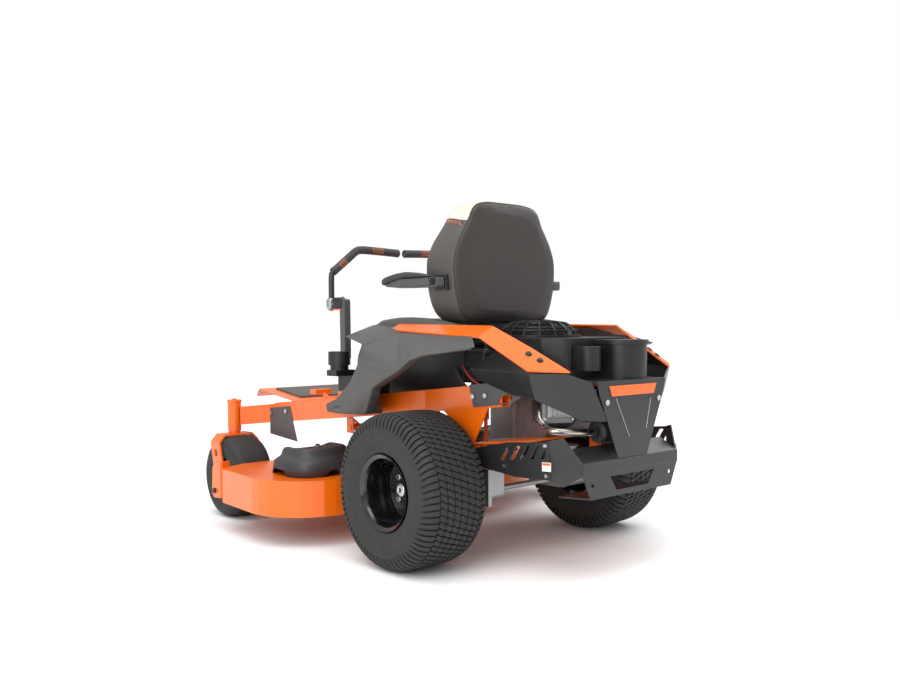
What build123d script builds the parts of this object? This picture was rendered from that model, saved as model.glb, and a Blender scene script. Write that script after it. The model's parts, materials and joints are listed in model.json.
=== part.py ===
from build123d import *
import math
import os

# Zero turn mower. Millimetres, +X to the operator's left, +Y to the rear, +Z up.
# The working frame has its origin on the ground under the rear axle, on the
# centre plane; every node is moved to the base centre of the whole machine
# when it is written.

# ---------------------------------------------------------------- wheels
drive_tyre_d = 508.0
drive_tyre_w = 252.0
drive_rim_r = 110.0
drive_flange_r = 122.0
drive_track_half = 457.0
axle_r = 12.7
hub_r = 46.0
lug_count = 4
lug_circle_r = 50.8

caster_tyre_d = 330.0
caster_tyre_w = 158.0
caster_rim_r = 79.0
caster_x = 475.0
caster_y = -1159.0
caster_trail = 30.0
fork_plate = 8.0
fork_gap = 3.5
stem_r = 12.7
caster_tube_r = 28.0
caster_tube_z = (349.0, 468.0)
caster_bolt_r = 9.5

# ---------------------------------------------------------------- frame
rail_h = 76.0
rail_w = 38.0
rail_wall = 3.0
rail_slope = 0.11
rail_top_at_axle = 574.0
rear_rail_x = 286.0
front_rail_x = 361.0
rail_rear_y = 270.0
sheet_t = 4.0

# ---------------------------------------------------------------- deck
deck_top = 240.0
deck_skirt = 128.0
deck_t = 3.5
spindle_left = (450.0, -620.0)
spindle_centre = (20.0, -795.0)
spindle_right = (-410.0, -620.0)
cutter_r = 228.0
shell_clear = 12.0
blade_t = 6.0
blade_w = 63.0
blade_lift = 14.0
spindle_shaft_r = 12.5
spindle_housing_r = 48.0
chute_len = 300.0
deck_travel = 76.0
roller_r = 30.0
roller_w = 23.0
roller_y = -964.0
roller_z = 146.0

# ---------------------------------------------------------------- upper works
strap_top = 790.0
cleaner_foot = 612.0
strap_turn_y = 228.0
strap_foot_x = 382.0
fender_wall = 4.0
seat_base = 706.0
seat_half = 255.0
seat_top = 1223.0
seat_back_t = 190.0
seat_leg_x = 150.0
hinge_y = -500.0
hinge_z = 712.0
hinge_r = 5.0
grip_r = 16.5
lever_r = 11.0
running = 0.05
gap = 0.4
pedal_x = 300.0
lift_at = (-500.0, 404.0)
lift_arm = 112.0
lift_arm_x = 245.0
cap_at = (398.0, -492.0)
throttle_at = (-272.0, -290.0)
throttle_pivot_z = 756.0
switch_at = (-272.0, -205.0)
key_at = (-272.0, -110.0)

mid_tube_y = -440.0
rear_tube_y = -20.0
plate_front_y = 130.0
plate_rear_y = 378.0
plate_t = 6.0
crank = (0.0, 140.0)
bumper_y = 546.0

nodes = {}


def add(name, *solids):
    nodes.setdefault(name, []).extend(solids)


def both(solid):
    return [solid, mirror(solid, about=Plane.YZ)]


def face_of(points):
    return make_face(Polyline(*points, close=True))


def prism_x(points, x0, x1):
    # outline in (y, z), filled from x0 to x1
    return extrude(Plane(origin=(x0, 0, 0), x_dir=(0, 1, 0), z_dir=(1, 0, 0)) * face_of(points),
                   amount=x1 - x0)


def prism_y(points, y0, y1):
    # outline in (x, z), filled from y0 to y1
    return extrude(Plane(origin=(0, y1, 0), x_dir=(1, 0, 0), z_dir=(0, -1, 0)) * face_of(points),
                   amount=y1 - y0)


def prism_z(points, z0, z1):
    # outline in (x, y), filled from z0 to z1
    return extrude(Plane(origin=(0, 0, z0)) * face_of(points), amount=z1 - z0)


def box(x0, x1, y0, y1, z0, z1):
    return Pos((x0 + x1) / 2, (y0 + y1) / 2, (z0 + z1) / 2) * Box(x1 - x0, y1 - y0, z1 - z0)


def rod_z(x, y, z0, z1, r):
    return Pos(x, y, (z0 + z1) / 2) * Cylinder(r, z1 - z0)


def rod_x(x0, x1, y, z, r):
    return Pos((x0 + x1) / 2, y, z) * Rot(0, 90, 0) * Cylinder(r, x1 - x0)


def rod_y(x, y0, y1, z, r):
    return Pos(x, (y0 + y1) / 2, z) * Rot(90, 0, 0) * Cylinder(r, y1 - y0)


def ring_x(profile, x, y, z):
    # (radius, distance along x) outline spun about an axle along x
    flat = Plane(origin=(0, 0, 0), x_dir=(0, 0, 1), z_dir=(0, -1, 0))
    spun = revolve(flat * face_of([(r, -a) for r, a in profile]), axis=Axis.X)
    return Pos(x, y, z) * spun


def ring_z(profile, x, y):
    # (radius, z) outline spun about a vertical axis
    return Pos(x, y, 0) * revolve(Plane.XZ * face_of(profile), axis=Axis.Z)


def sheet(points, thickness=sheet_t):
    # flat plate of any tilt, the outline given by points in space
    vectors = [Vector(*p) for p in points]
    normal = Vector(0, 0, 0)
    for a, b in zip(vectors, vectors[1:] + vectors[:1]):
        normal += a.cross(b)
    centre = sum(vectors, Vector(0, 0, 0)) / len(vectors)
    plane = Plane(origin=centre, x_dir=vectors[1] - vectors[0], z_dir=normal.normalized())
    local = [plane.to_local_coords(v) for v in vectors]
    flat = face_of([(v.X, v.Y) for v in local])
    return extrude(plane * flat, amount=thickness / 2, both=True)


def band(path, half):
    # closed outline of a strip that follows path, half wide to each side
    left, right = [], []
    for i, (x, y) in enumerate(path):
        before = path[max(i - 1, 0)]
        after = path[min(i + 1, len(path) - 1)]
        u = Vector(x - before[0], y - before[1]) if i else Vector(after[0] - x, after[1] - y)
        v = Vector(after[0] - x, after[1] - y) if i < len(path) - 1 else u
        u, v = u.normalized(), v.normalized()
        m = (u + v).normalized()
        reach = half / max(m.dot(u), 0.3)
        left.append((x - m.Y * reach, y + m.X * reach))
        right.append((x + m.Y * reach, y - m.X * reach))
    return left + right[::-1]


def pipe(points, r, bends):
    path = FilletPolyline(*points, radius=bends)
    start = path % 0
    return sweep(Plane(origin=path @ 0, z_dir=start) * Circle(r), path=path)


def rail_top(y):
    return rail_top_at_axle + rail_slope * y


def tube_top(y):
    # top of a cross tube set between the rails
    return rail_top(y) - 8.0


def plate_top(y):
    # engine plate surface, which climbs to the rear like the rails
    return 401.5 + 0.12 * (y - plate_front_y)


def bolt_x(x, y, z, side, r=9.0, h=7.0):
    # hexagon head standing on a face that looks along x
    head = extrude(RegularPolygon(r, 6), amount=h)
    return Pos(x, y, z) * Rot(0, 90 * side, 0) * head


# ================================================================ frame
rail_path = [
    (rear_rail_x, rail_rear_y),
    (rear_rail_x, -110.0),
    (front_rail_x, -400.0),
    (front_rail_x, -1040.0),
    (front_rail_x + 48, -1112.0),
    (caster_x - 18.0, caster_y + 18.0),
]


def rail_slab(inset):
    y0, y1 = -1400.0, 600.0
    return prism_x(
        [
            (y0, rail_top(y0) - inset),
            (y1, rail_top(y1) - inset),
            (y1, rail_top(y1) - rail_h + inset),
            (y0, rail_top(y0) - rail_h + inset),
        ],
        -800.0,
        800.0,
    )


def rails():
    outer = prism_z(band(rail_path, rail_w / 2), 200, 800) & rail_slab(0)
    inner = prism_z(band(rail_path, rail_w / 2 - rail_wall), 200, 800) & rail_slab(rail_wall)
    tube_room = rod_z(caster_x, caster_y, 200, 700, caster_tube_r)
    add("frame_rails", *both(outer - inner - tube_room))


def front_axle():
    z0, z1 = caster_tube_z
    tube = rod_z(caster_x, caster_y, z0, z1, caster_tube_r)
    tube -= rod_z(caster_x, caster_y, z0, z1, stem_r + running)
    add("frame_rails", *both(tube))
    inner = front_rail_x - rail_w / 2
    top = rail_top(-1040.0)
    beam = box(-inner, inner, -1080, -1030, top - 66, top - 16)
    beam -= box(-inner, inner, -1077, -1033, top - 63, top - 19)
    add("cross_members", beam)


def cross_members():
    inner_front = front_rail_x - rail_w / 2
    inner_rear = rear_rail_x - rail_w / 2
    for y, inner in ((mid_tube_y, inner_front), (rear_tube_y, inner_rear)):
        top = tube_top(y)
        tube = box(-inner, inner, y - 25, y + 25, top - 50, top)
        add("cross_members", tube - box(-inner, inner, y - 22, y + 22, top - 47, top - 3))
    # engine plate, carried below the rails on gussets
    y0, y1 = plate_front_y, plate_rear_y
    mid = plate_t / 2
    corners = [(-300, y0, plate_top(y0) - mid), (300, y0, plate_top(y0) - mid)]
    corners += [(300, y1, plate_top(y1) - mid), (-300, y1, plate_top(y1) - mid)]
    plate = sheet(corners, plate_t)
    plate -= rod_z(*crank, 300, 500, 34.0)
    add("cross_members", plate)
    x0 = rear_rail_x - rail_w / 2
    side = prism_x(
        [(-10, rail_top(-10) - rail_h), (205, rail_top(205) - rail_h), (140, 404.5), (131, 403.5)],
        x0 + rail_w + gap - 6.0,
        x0 + rail_w + gap,
    )
    hanger = box(x0 + rail_w - 5.6, x0 + rail_w + gap, 128, 164, 338, plate_top(128) - plate_t - gap)
    add("cross_members", *both(side), *both(hanger))


def brackets():
    x = front_rail_x + rail_w / 2 + gap
    outline = [(-1026, 446), (-874, 463), (-816, 325), (-1024, 340)]
    front = prism_x(outline, x, x + sheet_t)
    for y, z in ((-1010, 426), (-892, 441)):
        add("frame_bolts", *both(bolt_x(x + sheet_t + gap, y, z, 1)))
    add("bracket_plates", *both(front))
    x = rear_rail_x + rail_w / 2 + gap
    tail = prism_x([(122, 590), (226, 602), (394, 582), (315, 541), (142, 519)], x, x + sheet_t)
    slot = prism_x([(258, 540), (300, 540), (324, 560), (310, 572), (270, 560)], x - 1, x + sheet_t + 1)
    add("bracket_plates", *both(tail - slot))
    for y, z in ((145, 554), (203, 560)):
        add("frame_bolts", *both(bolt_x(x + sheet_t + gap, y, z, 1)))


def rest_z(y):
    # foot rest, rising towards its front edge
    return 462.0 + (-1040.0 - y) * 35.0 / 360.0


def floor_pan():
    half = front_rail_x + rail_w / 2
    y0, y1 = -1040.0, -470.0
    t = 4.0
    pan = prism_x(
        [(y0, rail_top(y0) + gap), (y1, rail_top(y1) + gap), (y1, rail_top(y1) + t),
         (y0, rail_top(y0) + t)],
        -half + 26,
        half - 26,
    )
    # slot for the lift pedal's arm
    pan -= box(pedal_x - 9, pedal_x + 9, -800, -540, 400, 600)
    for side in (-1, 1):
        pan -= box(side * 348 - 9, side * 348 + 9, -584, -520, 400, 600)
    rest = sheet([(-250, -1040, rest_z(-1040)), (250, -1040, rest_z(-1040)),
                  (225, -1400, rest_z(-1400)), (-225, -1400, rest_z(-1400))], 5.0)
    lip = sheet([(-225, -1400, rest_z(-1400)), (225, -1400, rest_z(-1400)), (205, -1458, 462),
                 (-205, -1458, 462)], 5.0)
    add("foot_platform", pan + rest + lip)
    lift = 2.5 + 3.5 + gap
    add("foot_pad", sheet([(-185, -1110, rest_z(-1110) + lift), (185, -1110, rest_z(-1110) + lift),
                           (165, -1350, rest_z(-1350) + lift), (-165, -1350, rest_z(-1350) + lift)], 7.0))


# ================================================================ fenders
fender_side = [
    (-392, 744), (-256, 718), (-270, 672), (-268, 650), (-314, 590), (-403, 524), (-482, 500), (-476, 472),
    (-404, 470), (-240, 478), (-219, 491), (-183, 571), (-115, 603), (-48, 634), (16, 671), (78, 688),
    (167, 698), (285, 711), (301, 719), (244, 752), (-38, 790), (-71, 814), (-207, 800), (-300, 770),
]
fender_in = 306.0
fender_out = 478.0
dome_in = 241.0


def fender_form(t):
    # body of one fender, pulled in by t on every side
    grown = offset(face_of(fender_side), -t, kind=Kind.INTERSECTION) if t else face_of(fender_side)
    flat = Plane(origin=(fender_in + t, 0, 0), x_dir=(0, 1, 0), z_dir=(1, 0, 0))
    body = extrude(flat * grown, amount=fender_out - fender_in - 2 * t)
    # the top falls away outboard, and is let in under the hood strap
    body -= prism_y([(fender_out + 1, 726 - t), (fender_out + 1, 900), (350, 900), (350, 818 - t)],
                    -520, 320)
    body -= prism_y([(300, 774.6 - t), (480, 695 - t), (480, 900), (300, 900)], -262 - t, 320)
    # the leg stands outboard of the rail
    body -= box(200, front_rail_x + rail_w / 2 + gap + t, -520, 320, 400, 640 + t)
    return body


def dome(t):
    side = [(-340 + t, 766 - t), (-207, 792 - t), (-71, 806 - t), (-38, 800 - t), (60 - t, 780 - t),
            (60 - t, 712 + t), (-340 + t, 712 + t)]
    return prism_x(side, dome_in + t, fender_in + 3 - t)


def fenders():
    shell = fender_form(0) - fender_form(fender_wall)
    cap = dome(0) - dome(fender_wall)
    left = shell + cap
    left -= prism_y([(304.5, 771), (480, 691), (480, 900), (304.5, 900)], -262, 320)
    # the rear end stays outboard of the strap's downward leg
    left -= box(200, strap_foot_x, strap_turn_y, 320, 600, 900)
    add("fender_left", left)
    right = mirror(left, about=Plane.YZ)
    for (x, y), r in ((switch_at, 8.0), (key_at, 6.0)):
        right -= rod_z(x, y, 700, 850, r + running)
    x, y = throttle_at
    right -= box(x - 4 - gap, x + 4 + gap, y - 32, y + 32, 745, 850)
    add("fender_right", right)


def seat_deck():
    # tunnel between the fenders that carries the seat and covers the tanks
    half = dome_in - gap
    deck = box(-half, half, -470, 20, seat_base - 4, seat_base)
    low_front, low_rear = tube_top(mid_tube_y) + gap, tube_top(rear_tube_y) + gap
    side = [(-470, low_front), (mid_tube_y + 30, low_front), (rear_tube_y - 30, low_rear),
            (20, low_rear), (20, seat_base), (-470, seat_base)]
    for x in (-half, half - 4):
        deck += prism_x(side, x, x + 4)
    # ears for the pins that the seat tips on
    ear_top, ear_foot, front = hinge_z + 9, seat_base - 8, hinge_y - 10
    ear = [(front, ear_foot), (-440, ear_foot), (-440, seat_base - 3.5), (-474, seat_base - 3.5),
           (-474, ear_top), (front, ear_top)]
    for x in (-seat_leg_x, seat_leg_x):
        for x0 in (x - 20, x + 15):
            deck += prism_x(ear, x0, x0 + 5)
        deck -= rod_x(x - 25, x + 25, hinge_y, hinge_z, hinge_r + running)
    add("seat_deck", deck)


# ================================================================ hood straps and shroud

def straps():
    inner_a, inner_b = (306, -248, strap_top), (306, 234, strap_top - 11)
    outer_a, outer_b = (346, -248, strap_top - 24), (377, 242, strap_top - 42)
    flat = sheet([inner_a, inner_b, outer_b, outer_a], 5.0)
    down = sheet([inner_b, (273, 368, 713), (247, 504, 642), (352, 430, 647), outer_b], 5.0)
    add("hood_straps", *both(flat + down))


def shroud():
    t = 3.0
    tip, low = (340, 162, 646), (338, 196, 603)
    upper = sheet([tip, (351, 430, 641), (322, 300, 722)], t)
    fore = sheet([tip, (351, 430, 641), (322, 430, 560), (300, 330, 576), low], t)
    aft = sheet([(351, 430, 641), (250, 497, 636), (184, 536, 608), (116, 536, 490), (190, 502, 492),
                 (322, 430, 560)], t)
    add("rear_shrouds", *both(upper + fore + aft))


def rear_panel():
    y = bumper_y
    plate = prism_y([(-171, 612), (171, 612), (160, 575), (72, 372.6), (-72, 372.6), (-160, 575)], y - 4, y)
    shelf = box(-168, 168, 448, y - 4, 607, cleaner_foot - gap)
    add("rear_panel", plate + shelf)
    badge = prism_y([(-118, 597), (118, 597), (104, 565), (-104, 565)], y + gap, y + gap + 2.5)
    add("badge_plate", badge)
    for x in (-129, 129):
        add("frame_bolts", rod_y(x, y + gap, y + 5, 548, 9.0))


def bumper():
    y = bumper_y
    band_face = prism_y([(-236, 370), (236, 370), (236, 333), (-236, 333)], y - 5, y)
    top = sheet([(-236, y - 3, 369), (236, y - 3, 369), (236, y - 70, 405), (-236, y - 70, 405)], 4.0)
    wing = sheet([(234, y - 3, 370), (234, y - 3, 333), (268, y - 50, 300), (303, y - 90, 322),
                  (303, y - 90, 436), (266, y - 50, 446)], 4.0)
    pan = sheet([(-236, y - 3, 334), (236, y - 3, 334), (200, y - 3, 258), (-200, y - 3, 258)], 4.0)
    keel = sheet([(200, y - 2, 260), (-200, y - 2, 260), (-225, y - 110, 256), (225, y - 110, 256)], 4.0)
    pan -= rod_y(193, y - 20, y + 20, 302, 7.0)
    pan -= rod_y(-193, y - 20, y + 20, 302, 7.0)
    pan -= prism_y([(-110, 320), (110, 320), (80, 275), (-80, 275)], y - 20, y + 20)
    add("bumper", band_face + top + wing + mirror(wing, about=Plane.YZ) + pan + keel)


def side_guards():
    x = rear_rail_x + rail_w / 2 + 1.0
    plate = prism_x([(110, 380), (298, 420), (470, 436), (476, 322), (336, 316), (118, 334)], x,
                    x + sheet_t)
    for i in range(5):
        y = 268 + 42 * i
        z = 362 + 5 * i
        plate -= prism_x([(y, z), (y + 16, z), (y + 46, z + 46), (y + 30, z + 46)], x - 1, x + sheet_t + 1)
    add("side_guards", *both(plate))
    for y, z in ((284, 343), (462, 425), (466, 335)):
        add("frame_bolts", *both(bolt_x(x + sheet_t + gap, y, z, 1, 6.5, 5.0)))


# ================================================================ engine
vee_angle = 33.0
cylinder_reach = 262.0


def engine():
    cx, cy = crank
    case = box(cx - 125, cx + 125, cy - 112, cy + 150, 390, 570)
    case += rod_z(cx, cy + 14, 380, 580, 126)
    case -= prism_x([(-50, plate_top(-50) + gap), (450, plate_top(450) + gap), (450, 300),
                     (-50, 300)], -200, 200)
    case -= rod_z(cx, cy, 300, 700, axle_r + 2 + running)
    add("engine_block", case)
    for side in (-1, 1):
        turn = Pos(cx, cy, 0) * Rot(0, 0, -side * vee_angle)
        barrel = box(-48, 48, 168, cylinder_reach, 472, 562)
        for i in range(6):
            y = 176 + 13 * i
            barrel += box(-58, 58, y, y + 5, 466, 568)
        barrel = (turn * barrel) - box(-400, 400, -400, cy + 150 + gap, 300, 700)
        add("engine_block", barrel)
        cover = box(-52, 52, cylinder_reach + gap, cylinder_reach + 30, 478, 558)
        cover = fillet(cover.edges().filter_by(Axis.Y), 12)
        add("valve_covers", turn * cover)
    house = prism_z([(-150, 20), (150, 20), (190, 90), (190, 330), (140, 400), (-140, 400),
                     (-190, 330), (-190, 90)], 600, 742)
    house = fillet(house.edges().filter_by(Axis.Z), 30)
    house -= prism_z([(-140, 30), (140, 30), (180, 94), (180, 326), (134, 390), (-134, 390),
                      (-180, 326), (-180, 94)], 590, 736)
    house -= rod_z(cx, cy, 700, 760, 112)
    house += box(-150, 130, 398, 402.6, 612, 742)
    # hoods that duct the air down over the barrels
    room = prism_z([(-140, 30), (140, 30), (180, 94), (180, 326), (134, 390), (-134, 390),
                    (-180, 326), (-180, 94)], 560, 736)
    for side in (-1, 1):
        turn = Pos(cx, cy, 0) * Rot(0, 0, -side * vee_angle)
        hood = turn * box(-66, 66, 120, 250, 573, 640) - turn * box(-61, 61, 110, 245, 560, 635)
        house += hood - room
        house -= turn * box(-61, 61, 110, 245, 560, 635)
    add("blower_housing", house)
    add("engine_block", rod_z(cx, cy + 95, 580.5, 735.5, 40))


def fan_guard():
    cx, cy = crank
    z0, z1 = 742.3, 800.0
    guard = ring_z([(112, z0), (146, z0), (146, z0 + 8), (112, z0 + 8)], cx, cy)
    guard += rod_z(cx, cy, z1 - 5, z1, 52)
    ribs = 16
    rib = prism_y([(50, z1 - 5), (50, z1), (95, z1 - 6), (132, z0 + 26), (140, z0), (132, z0),
                   (124, z0 + 24), (92, z1 - 12)], -2, 2)
    for i in range(ribs):
        guard += Pos(cx, cy, 0) * Rot(0, 0, 360 * i / ribs) * rib
    for r, z in ((82, z1 - 9), (112, z1 - 24), (132, z0 + 24)):
        guard += ring_z([(r - 2, z - 3), (r + 2, z - 3), (r + 2, z + 3), (r - 2, z + 3)], cx, cy)
    add("fan_guard", guard)


def crank_fan():
    cx, cy = crank
    shaft = rod_z(cx, cy, 300, 752, axle_r + 2)
    fan = rod_z(cx, cy, 752, 758, 104)
    for i in range(18):
        fan += Pos(cx, cy, 0) * Rot(0, 0, 20 * i) * box(58, 102, -1.5, 1.5, 757, 774)
    pulley = ring_z([(axle_r + 1, 318), (62, 318), (62, 322), (54, 330), (62, 338), (62, 342),
                     (axle_r + 1, 342)], cx, cy)
    clutch = rod_z(cx, cy, 342, 384, 58)
    add("crank_fan", shaft + fan + pulley + clutch)


def air_cleaner():
    front = box(-300, 300, 300, 403, 600, 800)
    tall = rod_z(-60, 462, cleaner_foot, 722, 74) + box(-134, 14, 403, 462, cleaner_foot, 722) - front
    short = rod_z(84, 440, 640, 716, 36) + box(48, 120, 403, 440, 640, 716) - front
    lid = rod_z(-60, 462, 722.3, 736, 80) + box(-140, 20, 403, 462, 722.3, 736) - front
    add("air_cleaner", tall, short, lid)


def exhaust():
    a = math.radians(vee_angle)
    port = (crank[0] + 240 * math.sin(a) + 58.3 * math.cos(a),
            crank[1] + 240 * math.cos(a) - 58.3 * math.sin(a), 500)
    out = (port[0] + 24 * math.cos(a), port[1] - 24 * math.sin(a), 500)
    tube = pipe([port, out, (226, 336, 458), (196, 446, 450), (80, 464, 448)], 12.0, 10.0)
    muffler = fillet((rod_x(-130, 80, 464, 448, 38)).edges(), 8)
    add("exhaust", tube - rod_x(-130, 80.3, 464, 448, 38.3), muffler)
    bracket = prism_y([(-8, 500), (112, 512), (112, 484), (60, 476), (60, 440), (20, 440), (20, 484),
                       (-8, 480)], 422.6, 425.6)
    add("exhaust", bracket)


# ================================================================ transaxles
def transaxles():
    x0, x1 = 150.0, 318.0
    for side in (-1, 1):
        case = box(x0, x1 - 40, -60, 120, 196, 318)
        case = fillet(case.edges().filter_by(Axis.X), 22)
        horn = rod_x(x1 - 60, x1, 0, 254, 38)
        stack = rod_z(220, 60, 310, 336, 46)
        rib = box(x1 - 44, x1 - 30, 70, 190, 198, 318)
        body = case + horn + stack + rib
        body -= rod_x(x1 - 60, x1 + 1, 0, 254, axle_r + running)
        add("transaxles", body if side > 0 else mirror(body, about=Plane.YZ))
        link = box(x1 - 43, x1 - 33, 134, 164, 318.4, plate_top(134) - plate_t)
        add("cross_members", link if side > 0 else mirror(link, about=Plane.YZ))
        fan = rod_z(220, 60, 336.4, 342, 52)
        add("transaxles", fan if side > 0 else mirror(fan, about=Plane.YZ))
    add("transaxles", rod_x(-149.6, 149.6, 100, 232, 10))


# ================================================================ wheels
def drive_wheel(side, name):
    r = drive_tyre_d / 2
    half = drive_tyre_w / 2
    tyre = [
        (drive_rim_r + 4, -half + 28), (drive_flange_r + 6, -half + 12), (r - 92, -half),
        (r - 60, -half - 0.01),
        (r - 26, -half + 8), (r - 8, -half + 26), (r, -half + 52), (r, half - 52), (r - 8, half - 26),
        (r - 26, half - 8), (r - 60, half + 0.01), (r - 92, half), (drive_flange_r + 6, half - 12),
        (drive_rim_r + 4, half - 28), (drive_rim_r + 4, half - 46), (r - 92, half - 18),
        (r - 60, half - 18),
        (r - 24, half - 44), (r - 22, 0), (r - 24, -half + 44), (r - 60, -half + 18), (r - 92, -half + 18),
        (drive_rim_r + 4, -half + 46),
    ]
    x = side * drive_track_half
    add("drive_tyre_" + name, ring_x(tyre, x, 0, r))
    face = 1 if side > 0 else -1
    rim = [
        (drive_flange_r, half - 14), (drive_flange_r, half - 10), (drive_rim_r, half - 17),
        (drive_rim_r - 4, half - 26),
        (drive_rim_r - 6, 4), (hub_r + 32, 0), (hub_r + 20, 10), (hub_r + 4, 12), (hub_r - 22, 12),
        (hub_r - 22, 7),
        (hub_r + 2, 7), (hub_r + 18, 5), (hub_r + 32, -6), (drive_rim_r - 8, -8),
        (drive_rim_r - 6, -half + 30),
        (drive_rim_r, -half + 17), (drive_flange_r, -half + 10), (drive_flange_r, -half + 14),
        (drive_rim_r + 3, -half + 29), (drive_rim_r, -half + 48), (drive_rim_r, half - 48),
        (drive_rim_r + 3, half - 29),
    ]
    rim = ring_x([(pr, face * pa) for pr, pa in rim], x, 0, r)
    for i in range(lug_count):
        a = math.radians(45 + 360 * i / lug_count)
        rim -= rod_x(x - 40, x + 40, lug_circle_r * math.cos(a), r + lug_circle_r * math.sin(a), 7.2)
    add("drive_rim_" + name, rim)
    hub = rod_x(x + face * 7 - 6 - face * 6.3, x + face * 7 + 6 - face * 6.3, 0, r, hub_r + 18)
    cap = rod_x(min(x + face * 1, x + face * 44), max(x + face * 1, x + face * 44), 0, r, hub_r - 23)
    shaft_end = 268.0
    shaft = rod_x(min(side * shaft_end, x), max(side * shaft_end, x), 0, r, axle_r)
    hub = hub + cap + shaft
    nuts = []
    for i in range(lug_count):
        a = math.radians(45 + 360 * i / lug_count)
        y, z = lug_circle_r * math.cos(a), r + lug_circle_r * math.sin(a)
        hub += rod_x(min(x, x + face * 22), max(x, x + face * 22), y, z, 6.0)
        nuts.append(bolt_x(x + face * 12.4, y, z, face, 11.0, 12.0) - rod_x(x - 40, x + 40, y, z,
                6.0 + running))
    add("drive_rim_" + name, hub, *nuts)


def caster(side, name):
    x, y0 = side * caster_x, caster_y
    ay = caster_y + caster_trail
    r = caster_tyre_d / 2
    half = caster_tyre_w / 2
    inner = half + fork_gap
    outer = inner + fork_plate
    top = caster_tube_z[0] - 10.0
    shape = prism_y(
        band([(-inner - fork_plate / 2, 130), (-inner - fork_plate / 2, 308), (-62, top - fork_plate / 2),
              (62, top - fork_plate / 2), (inner + fork_plate / 2, 308),
              (inner + fork_plate / 2, 130)], fork_plate / 2),
        -400, 400)
    side_view = prism_x([(-34, 345), (34, 345), (40, 300), (66, 210), (64, 140), (44, 130),
                         (-4, 130), (-14, 150), (-14, 215), (-34, 290)], -200, 200)
    fork = shape & side_view
    for z0, z1 in ((205, 232), (250, 278)):
        shift = (280 - z0) * 0.35
        fork -= prism_x([(-10 + shift, z0), (10 + shift, z0), (14 + shift - 8, z1),
                         (-6 + shift - 8, z1)], -200, 200)
    fork -= rod_x(-200, 200, caster_trail, r, caster_bolt_r + running)
    fork = Pos(x, y0, 0) * fork
    washer = rod_z(x, y0, top + gap / 2, caster_tube_z[0] - 0.3, 24) - rod_z(x, y0, 0, 600,
            stem_r + running)
    stem = rod_z(x, y0, top - 4, caster_tube_z[1] + 8, stem_r)
    cap = rod_z(x, y0, caster_tube_z[1] + 0.3, caster_tube_z[1] + 9, caster_tube_r + 2)
    cap += rod_z(x, y0, caster_tube_z[1] + 9, caster_tube_z[1] + 14, 9)
    bolt = rod_x(x - outer - 12, x + outer + 12, ay, r, caster_bolt_r)
    head = bolt_x(x + outer + gap, ay, r, 1, 15, 9) + bolt_x(x - outer - gap, ay, r, -1, 15, 9)
    add("caster_fork_" + name, fork + stem, washer, cap - stem, bolt + head)
    rr = caster_rim_r
    tyre = [
        (rr + 2, -half + 10), (rr + 10, -half + 2), (r - 60, -half), (r - 34, -half),
        (r - 14, -half + 8), (r - 3, -half + 26),
        (r, -half + 48), (r, half - 48), (r - 3, half - 26), (r - 14, half - 8), (r - 34, half),
        (r - 60, half),
        (rr + 10, half - 2), (rr + 2, half - 10), (rr + 2, half - 28), (r - 40, half - 14),
        (r - 16, half - 36),
        (r - 16, -half + 36), (r - 40, -half + 14), (rr + 2, -half + 28),
    ]
    add("caster_tyre_" + name, ring_x(tyre, x, ay, r))
    rim = [
        (caster_bolt_r + running, -half + 4), (24, -half + 4), (24, -12), (rr - 6, -8),
        (rr - 6, -half + 20), (rr + 1.6, -half + 12),
        (rr + 1.6, half - 12), (rr - 6, half - 20), (rr - 6, 8), (24, 12), (24, half - 4),
        (caster_bolt_r + running, half - 4),
    ]
    add("caster_rim_" + name, ring_x(rim, x, ay, r))


# ================================================================ deck
def deck_outline(grow):
    # plan outline of the shell, arcs about the outer spindles
    reach = cutter_r + shell_clear + grow
    points = []
    sx, sy = spindle_left
    for a in range(0, 91, 10):
        points.append((sx + reach * math.cos(math.radians(a)), sy + reach * math.sin(math.radians(a))))
    sx, sy = spindle_right
    for a in range(90, 181, 10):
        points.append((sx + reach * math.cos(math.radians(a)), sy + reach * math.sin(math.radians(a))))
    front = spindle_left[1] - 330 - grow
    nose = spindle_centre[1] - reach
    points += [
        (spindle_right[0] - reach, -840), (spindle_right[0] - reach + 17, spindle_right[1] - 262),
        (spindle_right[0] - reach + 33, spindle_right[1] - 292), (spindle_right[0] - 97, front),
        (spindle_centre[0] - 250, front),
        (spindle_centre[0] - 150, nose), (spindle_centre[0] + 150, nose), (spindle_centre[0] + 250, front),
        (spindle_left[0] + 97, front), (spindle_left[0] + reach - 33, spindle_left[1] - 292),
        (spindle_left[0] + reach - 17, spindle_left[1] - 262),
    ]
    return points


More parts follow.
